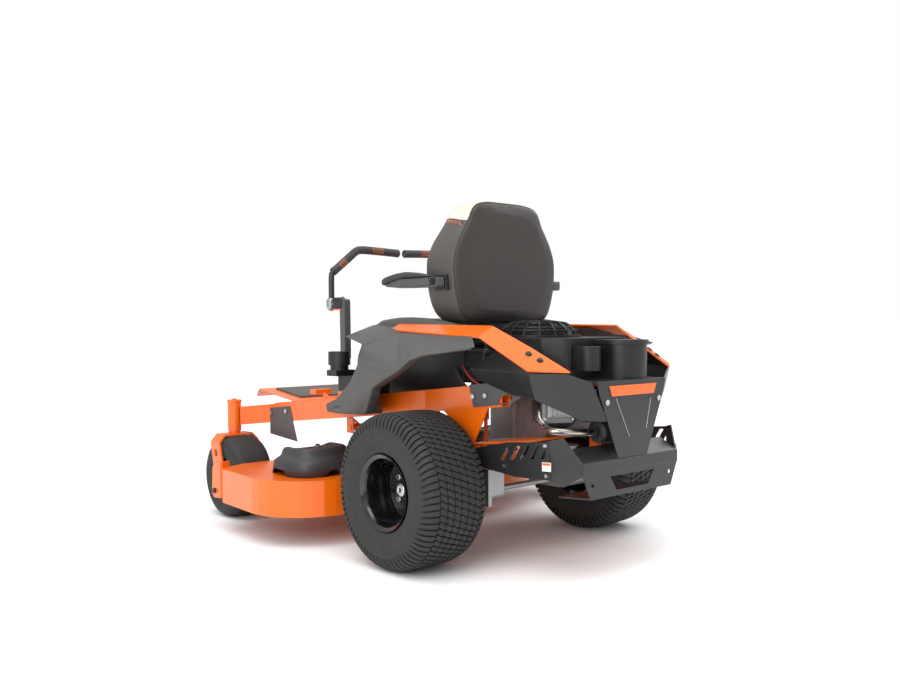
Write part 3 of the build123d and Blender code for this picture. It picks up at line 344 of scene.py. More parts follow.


# each finish's edge colour is what its edges are lightened to: partly wear, partly a painted highlight
finishLooks = {
    # polyester powder coat on folded steel: even, glossy, with a fine orange peel
    "orangePowderCoat": {"dark": "#E66000", "light": "#F06C02", "edge": "#FF8E3C", "mottleMm": 90, "grainMm": 2.2,
                         "bump": 0.12, "bumpMm": 0.12, "rough": (0.27, 0.36), "coat": 0.35, "coatRough": 0.16,
                         "edgeMm": 1.2, "wearAndHighlight": 0.5, "ior": 1.5},
    # fine-texture black powder coat: satin, with a grain that breaks up the highlight
    "blackPowderCoat": {"dark": "#1B1B1C", "light": "#232324", "edge": "#77797A", "mottleMm": 70, "grainMm": 1.1,
                        "bump": 0.35, "bumpMm": 0.15, "rough": (0.36, 0.46), "coat": 0.15, "coatRough": 0.3,
                        "edgeMm": 1.2, "wearAndHighlight": 0.7, "ior": 1.5},
    # grey powder coat of the bolted brackets
    "greyPowderCoat": {"dark": "#434445", "light": "#505152", "edge": "#A0A2A3", "mottleMm": 60, "grainMm": 1.1,
                       "bump": 0.3, "bumpMm": 0.12, "rough": (0.38, 0.48), "edgeMm": 1.2, "wearAndHighlight": 0.5, "ior": 1.5},
    # stoving enamel on the drive rims: deep gloss black
    "rimEnamel": {"dark": "#0C0C0D", "light": "#151516", "edge": "#5A5B5C", "mottleMm": 60, "grainMm": 3.0,
                  "bump": 0.06, "bumpMm": 0.1, "rough": (0.16, 0.24), "coat": 0.6, "coatRough": 0.06,
                  "edgeMm": 1.6, "wearAndHighlight": 0.5, "ior": 1.5},
    # carbon-black tyre rubber: dull, its edges and high spots lightened to grey partly by dust and partly by a painted
    # highlight
    "tyreRubber": {"dark": "#1E1E1E", "light": "#2C2C2B", "edge": "#4C4B4A", "mottleMm": 45, "grainMm": 1.4,
                   "bump": 0.35, "bumpMm": 0.25, "rough": (0.62, 0.82), "edgeMm": 1.0, "wearAndHighlight": 0.6, "ior": 1.52},
    # polypropylene mouldings with a spark-eroded grain
    "greyMoulding": {"dark": "#474746", "light": "#525251", "edge": "#8A8A88", "mottleMm": 130, "grainMm": 0.9,
                     "bump": 0.3, "bumpMm": 0.12, "rough": (0.44, 0.54), "edgeMm": 1.6, "wearAndHighlight": 0.5, "ior": 1.49},
    "darkMoulding": {"dark": "#2D2D2F", "light": "#363638", "edge": "#77777A", "mottleMm": 100, "grainMm": 0.9,
                     "bump": 0.3, "bumpMm": 0.12, "rough": (0.42, 0.52), "edgeMm": 1.4, "wearAndHighlight": 0.5, "ior": 1.49},
    "blackMoulding": {"dark": "#131315", "light": "#1B1B1D", "edge": "#5E5F62", "mottleMm": 80, "grainMm": 0.9,
                      "bump": 0.28, "bumpMm": 0.12, "rough": (0.34, 0.46), "edgeMm": 1.4, "wearAndHighlight": 0.6, "ior": 1.49},
    # die-cast aluminium, as cast: pale, a little uneven and cloudy
    "castAluminium": {"dark": "#8F9193", "light": "#B4B6B8", "edge": "#DADCDD", "mottleMm": 22, "grainMm": 1.3,
                      "bump": 0.4, "bumpMm": 0.25, "rough": (0.36, 0.52), "metallic": 0.85, "edgeMm": 1.4, "wearAndHighlight": 0.6},
    # zinc-plated and polished steel
    "brightSteel": {"dark": "#A9AAAB", "light": "#D2D3D4", "edge": "#F0F0F0", "mottleMm": 18, "grainMm": 0.7,
                    "bump": 0.15, "bumpMm": 0.08, "rough": (0.18, 0.3), "metallic": 1.0, "edgeMm": 0.6, "wearAndHighlight": 0.6},
    # hot-dipped exhaust pipe, slightly blued by heat
    "exhaustSteel": {"dark": "#9A958C", "light": "#CBC8C2", "edge": "#E8E6E2", "mottleMm": 30, "grainMm": 0.8,
                     "bump": 0.15, "bumpMm": 0.08, "rough": (0.2, 0.34), "metallic": 1.0, "edgeMm": 0.6, "wearAndHighlight": 0.5},
    # muffler shell: heat-proof dark grey paint over steel
    "mufflerSteel": {"dark": "#3A3A3A", "light": "#4A4A49", "edge": "#8C8A86", "mottleMm": 30, "grainMm": 1.0,
                     "bump": 0.25, "bumpMm": 0.12, "rough": (0.4, 0.55), "metallic": 0.6, "edgeMm": 1.0, "wearAndHighlight": 0.6},
    # blade steel under black dip paint, bare along its ground edge
    "bladeSteel": {"dark": "#2B2C2D", "light": "#3A3B3C", "edge": "#B8BABB", "mottleMm": 40, "grainMm": 0.9,
                   "bump": 0.25, "bumpMm": 0.12, "rough": (0.3, 0.42), "metallic": 0.4, "edgeMm": 1.2, "wearAndHighlight": 0.9},
    # soft thermoplastic elastomer of the grips, caps and pads
    "gripRubber": {"dark": "#2F2E2E", "light": "#3C3B3A", "edge": "#565452", "mottleMm": 30, "grainMm": 0.8,
                   "bump": 0.45, "bumpMm": 0.2, "rough": (0.55, 0.7), "edgeMm": 1.0, "wearAndHighlight": 0.4, "ior": 1.5},
    "footPadRubber": {"dark": "#4A4745", "light": "#5A5755", "edge": "#6E6B69", "mottleMm": 40, "grainMm": 1.4,
                      "bump": 0.6, "bumpMm": 0.3, "rough": (0.6, 0.75), "edgeMm": 1.0, "wearAndHighlight": 0.3, "ior": 1.5},
    "orangeRubber": {"dark": "#E8641C", "light": "#F27A33", "edge": "#F89A60", "mottleMm": 20, "grainMm": 0.8,
                     "bump": 0.3, "bumpMm": 0.1, "rough": (0.5, 0.6), "edgeMm": 0.6, "wearAndHighlight": 0.3, "ior": 1.5},
    # marine vinyl with a pebbled leather grain, drawn at 2 mm so that it shows
    "brownVinyl": {"dark": "#2E2A28", "light": "#373330", "edge": "#46413D", "mottleMm": 120, "grainMm": 2.0,
                   "grain": "ShaderNodeTexVoronoi", "bump": 0.28, "bumpMm": 0.35, "rough": (0.42, 0.54),
                   "edgeMm": 2.0, "wearAndHighlight": 0.2, "ior": 1.5},
    "greyVinyl": {"dark": "#47423E", "light": "#524D48", "edge": "#625C56", "mottleMm": 120, "grainMm": 2.0,
                  "grain": "ShaderNodeTexVoronoi", "bump": 0.28, "bumpMm": 0.35, "rough": (0.42, 0.54),
                  "edgeMm": 2.0, "wearAndHighlight": 0.2, "ior": 1.5},
    "creamVinyl": {"dark": "#CBC6B9", "light": "#DBD7CB", "edge": "#E4E0D6", "mottleMm": 120, "grainMm": 2.0,
                   "grain": "ShaderNodeTexVoronoi", "bump": 0.22, "bumpMm": 0.3, "rough": (0.42, 0.54),
                   "edgeMm": 2.0, "wearAndHighlight": 0.2, "ior": 1.5},
    "orangeThread": {"dark": "#E2601A", "light": "#F47C2C", "edge": "#F8A060", "mottleMm": 6, "grainMm": 0.8,
                     "bump": 0.5, "bumpMm": 0.2, "rough": (0.55, 0.7), "sheen": 0.3, "edgeMm": 0.3, "wearAndHighlight": 0.2},
    # yellow acetal knob
    "yellowKnob": {"dark": "#E0A900", "light": "#F4C414", "edge": "#FADB62", "mottleMm": 20, "grainMm": 0.9,
                   "bump": 0.1, "bumpMm": 0.08, "rough": (0.26, 0.36), "edgeMm": 1.0, "wearAndHighlight": 0.3, "ior": 1.48},
    # printed vinyl stickers
    "yellowSticker": {"dark": "#E8C21A", "light": "#F3D132", "edge": "#F8E07A", "mottleMm": 20, "grainMm": 1.5,
                      "bump": 0.05, "bumpMm": 0.05, "rough": (0.3, 0.4), "edgeMm": 0.3, "wearAndHighlight": 0.2, "ior": 1.46},
    "whiteSticker": {"dark": "#D9D9D6", "light": "#EDEDEA", "edge": "#F4F4F2", "mottleMm": 20, "grainMm": 1.5,
                     "bump": 0.05, "bumpMm": 0.05, "rough": (0.3, 0.4), "edgeMm": 0.3, "wearAndHighlight": 0.2, "ior": 1.46},
    "redWire": {"dark": "#A8231A", "light": "#BE2E22", "edge": "#D25A50", "mottleMm": 12, "grainMm": 1.0,
                "bump": 0.1, "bumpMm": 0.05, "rough": (0.35, 0.45), "edgeMm": 0.3, "wearAndHighlight": 0.2, "ior": 1.5},
}
finish = {name: finishOf(name, look) for name, look in finishLooks.items()}

slotFinish = {
    "orange_paint": "orangePowderCoat",
    "black_paint": "blackPowderCoat",
    "grey_paint": "greyPowderCoat",
    "rim_black": "rimEnamel",
    "tyre_rubber": "tyreRubber",
    "grey_plastic": "greyMoulding",
    "black_plastic": "blackMoulding",
    "cast_aluminium": "castAluminium",
    "bright_steel": "brightSteel",
    "blade_steel": "bladeSteel",
    "grip_rubber": "gripRubber",
    "seat_vinyl": "brownVinyl",
    "switch_yellow": "yellowKnob",
}
nodeFinish = {"exhaust": "exhaustSteel", "foot_pad": "footPadRubber", "belt_covers": "darkMoulding"}
slotOfNode = {part["node"]: part["material_slot"] for part in frame["record"]["subparts"]}
for nodeName, cadPiece in nodes.items():
    coat = finish[nodeFinish.get(nodeName, slotFinish[slotOfNode[nodeName]])]
    if not cadPiece.material_slots:
        cadPiece.data.materials.append(coat)
    for cadSlot in cadPiece.material_slots:
        cadSlot.material = coat
print("finishes ready:", len(finish))


# ---- drive tyres

driveTyre = {
    "radius": 254.0,
    "width": 252.0,
    "treadDepth": 7.5,
    "pitches": 74,
    "columns": 6,
    "columnStep": 28.0,
    "blockWidth": 25.0,
    "grooveWidth": 4.6,
    "wave": 4.6,
    "lugStart": 85.0,
    "lugEnd": 151.0,
    "beadRadius": 114.0,
    "trackHalf": 457.0,
}
# carcass from the middle of the crown outwards: arc length along it, distance across, radius
carcassLine = [(0, 254.0), (40, 253.6), (70, 252.6), (88, 250.6), (102, 246.0), (112, 238.5), (119, 228.0), (123, 214.0),
               (125.4, 198.0), (125.2, 180.0), (122.6, 162.0), (118.0, 146.0), (113.5, 134.0), (112.0, 128.0),
               (106.0, 123.5), (98.0, 118.0), (84.0, 114.5)]


def smoothLine(points, parts=6):
    # Catmull-Rom points through the given ones
    line = []
    for i in range(len(points) - 1):
        p0, p1, p2, p3 = (Vector(points[max(0, min(len(points) - 1, i + k))]) for k in (-1, 0, 1, 2))
        for k in range(parts):
            t = k / parts
            line.append(0.5 * (2 * p1 + (p2 - p0) * t + (2 * p0 - 5 * p1 + 4 * p2 - p3) * t ** 2
                               + (3 * p1 - 3 * p2 + p3 - p0) * t ** 3))
    line.append(Vector(points[-1]))
    return line


carcass = smoothLine(carcassLine)
carcassLength = [0.0]
for before, after in zip(carcass, carcass[1:]):
    carcassLength.append(carcassLength[-1] + (after - before).length)


def onCarcass(arc, sink=0.0):
    # distance across and radius at an arc length from the middle of the crown, sunk below the surface
    reach = min(abs(arc), carcassLength[-1] - 0.01)
    k = next(i for i in range(len(carcass) - 1) if carcassLength[i + 1] >= reach)
    share = (reach - carcassLength[k]) / max(carcassLength[k + 1] - carcassLength[k], 1e-6)
    spot = carcass[k].lerp(carcass[k + 1], share)
    along = (carcass[k + 1] - carcass[k]).normalized()
    spot = spot - Vector((along.y, -along.x)) * -sink
    return (spot.x if arc >= 0 else -spot.x), spot.y


def treadBlock(points, faces, outline, centreTurn, sinkTop=0.0, sinkFoot=8.5, lip=1.1):
    # a raised block from an outline of (arc length across, distance round) with a small chamfer
    start, count = len(points), len(outline)
    middle = [sum(p[k] for p in outline) / count for k in (0, 1)]
    for shrink, sink in ((0.0, sinkFoot), (0.0, sinkTop + lip), (lip, sinkTop)):
        for arc, around in outline:
            away = Vector((arc - middle[0], around - middle[1]))
            away = away - away.normalized() * shrink
            across, radius = onCarcass(middle[0] + away.x, sink)
            turn = centreTurn + (middle[1] + away.y) / driveTyre["radius"]
            points.append((across, radius * math.cos(turn), radius * math.sin(turn)))
    for row in (0, 1):
        for k in range(count):
            m = (k + 1) % count
            faces.append((start + row * count + k, start + row * count + m,
                          start + (row + 1) * count + m, start + (row + 1) * count + k))
    # the top is closed by strips between the leading and the trailing edge
    top = start + 2 * count
    half = count // 2
    for k in range(half - 1):
        faces.append((top + k, top + k + 1, top + count - 2 - k, top + count - 1 - k))


def waveBlock(centre, width, height, wave):
    # leading edge then trailing edge of one S-shaped block
    lead, trail = [], []
    steps = 7
    for k in range(steps):
        share = 2 * k / (steps - 1) - 1
        shift = wave * math.sin(share * 1.9)
        pinch = height / 2 * (1 - 0.34 * abs(share) ** 6)
        lead.append((centre + share * width / 2, shift - pinch))
        trail.append((centre + share * width / 2, shift + pinch))
    return lead + trail[::-1]


def shoulderLug(side):
    # long lug that runs over the shoulder and sweeps back as it thins out
    lead, trail = [], []
    steps = 12
    pitch = 2 * math.pi * driveTyre["radius"] / driveTyre["pitches"]
    for k in range(steps):
        share = k / (steps - 1)
        arc = driveTyre["lugStart"] + share * (driveTyre["lugEnd"] - driveTyre["lugStart"])
        sweepBack = 5.5 * math.cos(share * 2.2) - 5.0 * share ** 2
        half = (pitch - driveTyre["grooveWidth"]) / 2 * (1 - 0.3 * share)
        if k in (0, steps - 1):
            half *= 0.7
        lead.append((side * arc, sweepBack * side - half))
        trail.append((side * arc, sweepBack * side + half))
    return lead + trail[::-1]


def driveTyrePiece(name, side):
    points, faces = [], []
    pitchAngle = 2 * math.pi / driveTyre["pitches"]
    pitch = pitchAngle * driveTyre["radius"]
    height = pitch - driveTyre["grooveWidth"]
    for i in range(driveTyre["pitches"]):
        for column in range(driveTyre["columns"]):
            centre = (column - (driveTyre["columns"] - 1) / 2) * driveTyre["columnStep"]
            turn = pitchAngle * (i + 0.5 * (column % 2))
            treadBlock(points, faces, waveBlock(centre, driveTyre["blockWidth"], height, driveTyre["wave"]), turn)
        for edge in (-1, 1):
            treadBlock(points, faces, shoulderLug(edge), pitchAngle * (i + 0.25), sinkFoot=7.0)
    # carcass under the blocks, with moulded rings on the sidewall
    steps = 180
    section = []
    arc = 0.0
    while arc < carcassLength[-1] - 1:
        inTread = max(0.0, min(1.0, (driveTyre["lugEnd"] + 2 - arc) / 14.0))
        ring = 0.0
        for ringArc, depth, half in ((168.0, 1.3, 1.6), (214.0, 1.1, 1.6), (220.0, -0.6, 2.0), (196.0, 0.5, 1.4)):
            ring += depth * math.exp(-((arc - ringArc) / half) ** 2)
        section.append(onCarcass(arc, driveTyre["treadDepth"] * inTread + ring + 0.2))
        arc += 2.2 if arc > driveTyre["lugEnd"] - 16 else 9.0
    section.append((driveTyre["width"] / 2 - 46.0, driveTyre["beadRadius"]))
    whole = [(-a, r) for a, r in section[:0:-1]] + section
    start, count = len(points), len(whole)
    for i in range(steps):
        turn = 2 * math.pi * i / steps
        points.extend((a, r * math.cos(turn), r * math.sin(turn)) for a, r in whole)
    for i in range(steps):
        j = (i + 1) % steps
        for k in range(count):
            m = (k + 1) % count
            faces.append((start + i * count + k, start + j * count + k, start + j * count + m, start + i * count + m))
    spots = [at(side * (driveTyre["trackHalf"] + x), y, driveTyre["radius"] + z) for x, y, z in points]
    piece = fixNormals(meshPiece(name, spots, faces, finish["tyreRubber"], smooth=False))
    piece.data.shade_smooth()
    piece.data.set_sharp_from_angle(angle=math.radians(32))
    return piece


for side, sideName in ((1, "left"), (-1, "right")):
    placed(driveTyrePiece("drive_tread_" + sideName, side), "drive_wheel_" + sideName, "tyre_rubber",
           "drive_tyre_" + sideName)
print("drive tyres made")


# ---- seat

seatLook = {
    "voxelMm": 6.0,
    "pressure": 1.6,
    "capMm": 5.0,
    "frames": 14,
    "stitchMm": 9.0,
}


def puffed(piece, voxel, pressure, cap, frames):
    # blows a closed form up like foam under a sewn cover, and caps how far each point goes
    remesh = piece.modifiers.new("remesh", "REMESH")
    remesh.mode = "VOXEL"
    remesh.voxel_size = voxel * millimetre
    settled(piece)
    start = [v.co.copy() for v in piece.data.vertices]
    cloth = piece.modifiers.new("cloth", "CLOTH")
    cloth.settings.quality = 4
    cloth.settings.mass = 0.25
    cloth.settings.tension_stiffness = 40
    cloth.settings.compression_stiffness = 40
    cloth.settings.shear_stiffness = 8
    cloth.settings.bending_stiffness = 12
    cloth.settings.use_pressure = True
    cloth.settings.uniform_pressure_force = pressure
    cloth.settings.effector_weights.gravity = 0
    cloth.point_cache.frame_start = 1
    cloth.point_cache.frame_end = frames
    for step in range(1, frames + 1):
        scene.frame_set(step)
    settled(piece)
    scene.frame_set(1)
    for vertex, before in zip(piece.data.vertices, start):
        move = vertex.co - before
        if move.length > cap * millimetre:
            vertex.co = before + move.normalized() * cap * millimetre
    smooth = piece.modifiers.new("smooth", "SMOOTH")
    smooth.iterations = 10
    subdivided(piece, 1)
    settled(piece)
    piece.data.shade_smooth()
    return piece


def onSurface(piece, route, lift=0.0):
    # the route's points moved to the nearest place on the piece, lifted off it a little
    tree = BVHTree.FromPolygons([v.co for v in piece.data.vertices], [p.vertices for p in piece.data.polygons])
    spots = []
    for spot in route:
        place, normal, _, _ = tree.find_nearest(at(*spot))
        spots.append(((place + normal * lift * millimetre) - axleSpot) / millimetre)
    return spots


def creased(piece, route, depth, width):
    # presses a seam into the piece along the route
    seam = [at(*p) for p in route]
    low = [min(p[k] for p in seam) - width * 3 * millimetre for k in range(3)]
    high = [max(p[k] for p in seam) + width * 3 * millimetre for k in range(3)]
    normals = [v.normal.copy() for v in piece.data.vertices]
    for vertex, normal in zip(piece.data.vertices, normals):
        if any(vertex.co[k] < low[k] or vertex.co[k] > high[k] for k in range(3)):
            continue
        away = min((vertex.co - p).length_squared for p in seam) ** 0.5 / (width * millimetre)
        if away < 3:
            vertex.co -= normal * depth * millimetre * math.exp(-away ** 2)
    return piece


def stitches(name, route, length, gapMm, radius, thread):
    # short raised threads end to end along a dense route
    parts = []
    travelled, inStitch, run = 0.0, True, [Vector(route[0])]
    pieces = []
    for before, after in zip(route, route[1:]):
        travelled += (Vector(after) - Vector(before)).length
        if inStitch:
            run.append(Vector(after))
        if inStitch and travelled >= length:
            pieces.append(run)
            inStitch, travelled = False, 0.0
        elif not inStitch and travelled >= gapMm:
            inStitch, travelled, run = True, 0.0, [Vector(after)]
    for k, run in enumerate(pieces):
        parts.append(bentTube(f"{name}_{k}", [run[0], run[len(run) // 2], run[-1]], radius, thread, smoothness=3))
    return joined(name, parts)


# half outline of the back seen from the rear: half width and height, from the foot to the crown
backOutline = [(150, 793), (192, 797), (222, 826), (242, 880), (253, 935), (256, 990), (250, 1034), (231, 1080),
               (206, 1122), (184, 1158), (168, 1188), (146, 1208), (112, 1218), (60, 1222), (0, 1222)]
# ring by ring from the rear face to the front face: distance to the rear, inset of the outline
backRings = [(-3, 90), (-4, 56), (-6, 28), (-10, 12), (-17, 4), (-30, 0), (-55, -1), (-90, -1), (-125, 0),
             (-152, 3), (-172, 12), (-184, 28), (-186, 52)]


def ringOutline(half, inset):
    # closed outline from the half outline, moved inwards
    whole = smoothLine(half, 4)
    whole = whole + [Vector((-p.x, p.y)) for p in whole[-2::-1]]
    foot = [Vector((whole[-1].x + (whole[0].x - whole[-1].x) * k / 6, whole[0].y)) for k in range(1, 6)]
    whole += foot
    count = len(whole)
    moved = []
    for k in range(count):
        along = (whole[(k + 1) % count] - whole[k - 1]).normalized()
        moved.append(whole[k] + Vector((-along.y, along.x)) * inset)
    return moved


def shrunkOutline(inset):
    # small insets follow the outline, large ones shrink it about its middle so that it never folds over
    follow = min(inset, 12)
    share = 1 - (inset - follow) / 215
    return [Vector((p.x * share, 1005 + (p.y - 1005) * share)) for p in ringOutline(backOutline, follow)]


def seatBackPiece():
    rings = []
    for y, inset in backRings:
        ring = []
        for spot in shrunkOutline(inset):
            x, z = spot.x, spot.y
            # the front face leans back towards its top, and the head roll stands a little forward
            lean = max(0.0, (z - 1010) / 210)
            share = max(0.0, min(1.0, -y / 180))
            shift = share * (34 * lean ** 1.1 + 16 * max(0.0, (860 - z) / 70))
            ring.append(at(x, y + shift, z))
        rings.append(ring)
    # hollow of the front, between the bolsters
    for inset, y in ((84, -168), (112, -146), (150, -136)):
        ring = []
        for spot in shrunkOutline(inset):
            lean = max(0.0, (spot.y - 1010) / 210)
            ring.append(at(spot.x, y + 34 * lean ** 1.1, spot.y))
        rings.append(ring)
    piece = lofted("seat_back_pad", rings, finish["greyVinyl"])
    puffed(piece, seatLook["voxelMm"], seatLook["pressure"], seatLook["capMm"], seatLook["frames"])
    # keep it inside the machine's own height and off the armrest brackets
    for vertex in piece.data.vertices:
        spot = (vertex.co - axleSpot) / millimetre
        vertex.co.z = min(vertex.co.z, axleSpot.z + 1.2225)
        if spot.y > 0.0:
            vertex.co.y = axleSpot.y
    return piece


def alongRing(y, inset):
    # dense points round the back at one ring, as a route
    ring = [(p.x, y, p.y) for p in ringOutline(backOutline, inset)]
    dense = []
    for a, b in zip(ring, ring[1:] + ring[:1]):
        steps = max(1, int((Vector(b) - Vector(a)).length / 5))
        dense += [tuple(Vector(a).lerp(Vector(b), k / steps)) for k in range(steps)]
    return dense


def paintBack(piece):
    # rear panel, side walls and the cream head roll, each by where the cover is cut
    mesh = piece.data
    mesh.materials.clear()
    for key in ("brownVinyl", "greyVinyl", "creamVinyl"):
        mesh.materials.append(finish[key])
    for face in mesh.polygons:
        spot = (face.center - axleSpot) / millimetre
        if face.normal.y > 0.55 or spot.y > -19:
            face.material_index = 0
        elif spot.z > 1146 + (abs(spot.x) - 120) * 0.12 - (spot.y + 90) * 0.10:
            face.material_index = 2
        else:
            face.material_index = 1
    return piece


seatBack = seatBackPiece()
rearSeam = alongRing(-19, 9)
frontSeam = alongRing(-158, 12)
creased(seatBack, onSurface(seatBack, rearSeam), 1.6, 4.0)
creased(seatBack, onSurface(seatBack, frontSeam), 1.6, 4.0)
paintBack(seatBack)
placed(seatBack, "seat", "seat_vinyl", "seat_back")
rearPiping = bentTube("seat_back_piping_rear", onSurface(seatBack, rearSeam, -0.6), 2.6, finish["brownVinyl"], cyclic=True)
placed(rearPiping, "seat", "seat_vinyl")
frontPiping = bentTube("seat_back_piping_front", onSurface(seatBack, frontSeam, -0.6), 2.6, finish["greyVinyl"], cyclic=True)
placed(frontPiping, "seat", "seat_vinyl")


def headSeamRoute(drop):
    # across the front of the head roll and round to the rear seam on both sides
    route = []
    for k in range(-70, 71):
        share = k / 70
        x = 214 * share
        y = -176 + 156 * max(0.0, abs(share) - 0.72) / 0.28 if abs(share) > 0.72 else -176
        z = 1146 + (abs(x) - 120) * 0.12 - (y + 90) * 0.10 - drop
        route.append((x, y, z))
    return route


for k, drop in enumerate((7.0, 15.0)):
    spots = onSurface(seatBack, headSeamRoute(drop), 0.5)
    placed(stitches(f"head_roll_stitches_{k}", spots, seatLook["stitchMm"], 3.0, 1.1, finish["orangeThread"]),
           "seat", "seat_vinyl")
spots = onSurface(seatBack, headSeamRoute(0.0), -0.4)
placed(bentTube("head_roll_piping", spots, 2.2, finish["greyVinyl"]), "seat", "seat_vinyl")


def seatCushionPiece():
    low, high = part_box("seat_cushion")
    x0, y0, z0 = ((Vector(low) - axleSpot) / millimetre)
    x1, y1, z1 = ((Vector(high) - axleSpot) / millimetre)
    rings = []
    for inset, z in ((14, z0 + 1), (4, z0 + 8), (0, z0 + 26), (0, z1 - 34), (8, z1 - 16), (26, z1 - 7), (70, z1 - 12)):
        ring = []
        corner = 60
        for cx, cy, turn in ((x1, y1, 0), (x0, y1, 90), (x0, y0, 180), (x1, y0, 270)):
            mx, my = (1 if cx == x1 else -1), (1 if cy == y1 else -1)
            for k in range(7):
                a = math.radians(turn + 15 * k)
                ring.append(at(cx - mx * corner + (corner - inset) * math.cos(a),
                               cy - my * corner + (corner - inset) * math.sin(a), z))
        rings.append(ring)
    piece = lofted("seat_cushion_pad", rings, finish["greyVinyl"])
    puffed(piece, seatLook["voxelMm"], seatLook["pressure"], 6.0, seatLook["frames"])
    for vertex in piece.data.vertices:
        spot = (vertex.co - axleSpot) / millimetre
        vertex.co.z = max(vertex.co.z, axleSpot.z + z0 * millimetre)
        vertex.co.y = min(vertex.co.y, axleSpot.y + y1 * millimetre)
    return piece


seatCushion = seatCushionPiece()
cushionLow, cushionHigh = ((Vector(c) - axleSpot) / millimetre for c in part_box("seat_cushion"))
for side in (-1, 1):
    channel = [(side * 110, cushionLow.y + 24 + 5 * k, cushionHigh.z) for k in range(56)]
    creased(seatCushion, onSurface(seatCushion, channel), 4.0, 6.0)
    spots = onSurface(seatCushion, channel, 0.4)
    placed(stitches(f"cushion_stitches_{'left' if side > 0 else 'right'}", spots, seatLook["stitchMm"], 3.0, 1.0,
                    finish["orangeThread"]), "seat", "seat_vinyl")
placed(seatCushion, "seat", "seat_vinyl", "seat_cushion")
print("seat upholstered")


# ---- fenders

fenderLook = {"edgeMm": 6.0, "sweepMm": 100.0}
# outline of the outer face: distance to the rear, height, distance out, then how far out and how high its inner edge is
fenderFace = [
    (-388, 746, 446, 326, 762), (-256, 720, 468, 430, 724), (-272, 676, 474, 436, 676), (-270, 650, 476, 436, 650),
    (-314, 592, 476, 384, 592), (-400, 526, 474, 384, 526), (-480, 502, 468, 384, 502), (-476, 474, 468, 384, 474),
    (-404, 472, 474, 384, 472), (-240, 479, 476, 384, 479), (-219, 491, 476, 436, 491), (-183, 571, 476, 436, 571),
    (-115, 603, 476, 436, 603), (-48, 634, 476, 436, 634), (16, 671, 476, 436, 671), (78, 688, 476, 436, 688),
    (167, 699, 474, 436, 699), (270, 710, 466, 440, 708), (290, 718, 458, 434, 720), (226, 742, 396, 384, 747),
    (100, 747, 376, 312, 771), (-60, 753, 366, 312, 776), (-180, 757, 358, 312, 780), (-290, 761, 392, 312, 788),
]
# ridge that runs down the leg
fenderRidge = [(-222, 655, 483), (-288, 562, 483), (-370, 502, 480)]
# faces of the outer side, 24 and on being the ridge
fenderFacets = [
    (0, 23, 1), (1, 23, 22), (1, 22, 13, 2), (22, 21, 14, 13), (21, 20, 15, 14), (20, 19, 16, 15), (19, 18, 17, 16),
    (2, 13, 24), (2, 24, 3), (3, 24, 25, 4), (4, 25, 26, 5), (5, 26, 7, 6), (26, 8, 7), (25, 12, 11, 10, 9, 8, 26),
    (24, 13, 12, 25),
]

# faces of the inner side
fenderInside = [
    (0, 23, 1), (1, 23, 22), (1, 22, 2), (2, 22, 21, 13), (2, 13, 3), (3, 13, 12), (3, 12, 11), (3, 11, 10, 9, 4),
    (4, 9, 8, 5), (5, 8, 7, 6), (21, 14, 13), (21, 20, 15, 14), (20, 19, 16, 15), (19, 18, 17, 16),
]


def fenderPiece():
    points, faces = [], []
    for y, z, x, _, _ in fenderFace:
        points.append(at(x, y, z))
    for y, z, x in fenderRidge:
        points.append(at(x, y, z))
    faces += fenderFacets
    count, start = len(fenderFace), len(points)
    for y, _, _, innerX, innerZ in fenderFace:
        # the tip sweeps forward as it comes in
        points.append(at(innerX, y - (fenderLook["sweepMm"] if innerZ > 750 and y < -250 else 0), innerZ))
    for k in range(count):
        m = (k + 1) % count
        faces.append((k, start + k, start + m, m))
    faces += [tuple(start + k for k in face[::-1]) for face in fenderInside]
    piece = fixNormals(meshPiece("fender_shell", points, faces, finish["greyMoulding"], smooth=False))
    rounded(piece, fenderLook["edgeMm"], 3, 12)
    settled(piece)
    piece.data.shade_smooth()
    piece.data.set_sharp_from_angle(angle=math.radians(38))
    return piece


def domePiece():
    # rounded cap between the fender and the seat
    rows = []
    for y, top, wide in ((-466, 748, 0.4), (-460, 766, 0.8), (-420, 785, 1), (-358, 806, 1), (-280, 816, 1), (-160, 813, 1),
                         (-68, 805, 1), (5, 791, 1), (54, 778, 0.95), (58, 750, 0.7)):
        row = []
        mid, half = 274.0, 33.0 * wide
        for k in range(13):
            turn = math.pi * k / 12
            bulge = abs(math.cos(turn)) ** 0.45 * (1 if math.cos(turn) > 0 else -1)
            row.append(at(mid + half * bulge, y, 716 + (top - 716) * math.sin(turn) ** 0.4))
        rows.append(row)
    piece = lofted("fender_dome", rows, finish["greyMoulding"])
    return settled(subdivided(piece, 1))


fenderLeft = joined("fender_moulding_left", [fenderPiece(), domePiece()])
fenderRight = mirroredCopy(fenderLeft, "fender_moulding_right")
placed(fenderLeft, "chassis", "grey_plastic", "fender_left")
placed(fenderRight, "chassis", "grey_plastic", "fender_right")
print("fenders made")


# ---- levers

leverLook = {"tubeX": 338.0, "tubeY": -630.4, "gripRadius": 15.8, "chevronPitch": 8.0}


def chevrons(name, start, end, count, radius):
    # raised orange arrowheads in two rows, set round the side of the grip that faces out
    parts = []
    a, b = Vector(start), Vector(end)
    along = (b - a).normalized()
    outward = Vector((0.25, 1, 0.1))
    outward = (outward - along * outward.dot(along)).normalized()
    aside = along.cross(outward)
    for k in range(count):
        middle = a + along * leverLook["chevronPitch"] * k
        for row in (-1, 1):
            route = []
            for step in range(5):
                turn = row * (0.08 + 0.17 * step)
                lean = 6.5 * step / 4
                route.append(middle + along * lean + (outward * math.cos(turn) + aside * math.sin(turn)) * radius)
            parts.append(bentTube(f"{name}_{k}_{row}", route, 0.9, finish["orangeRubber"], smoothness=2))
    return parts


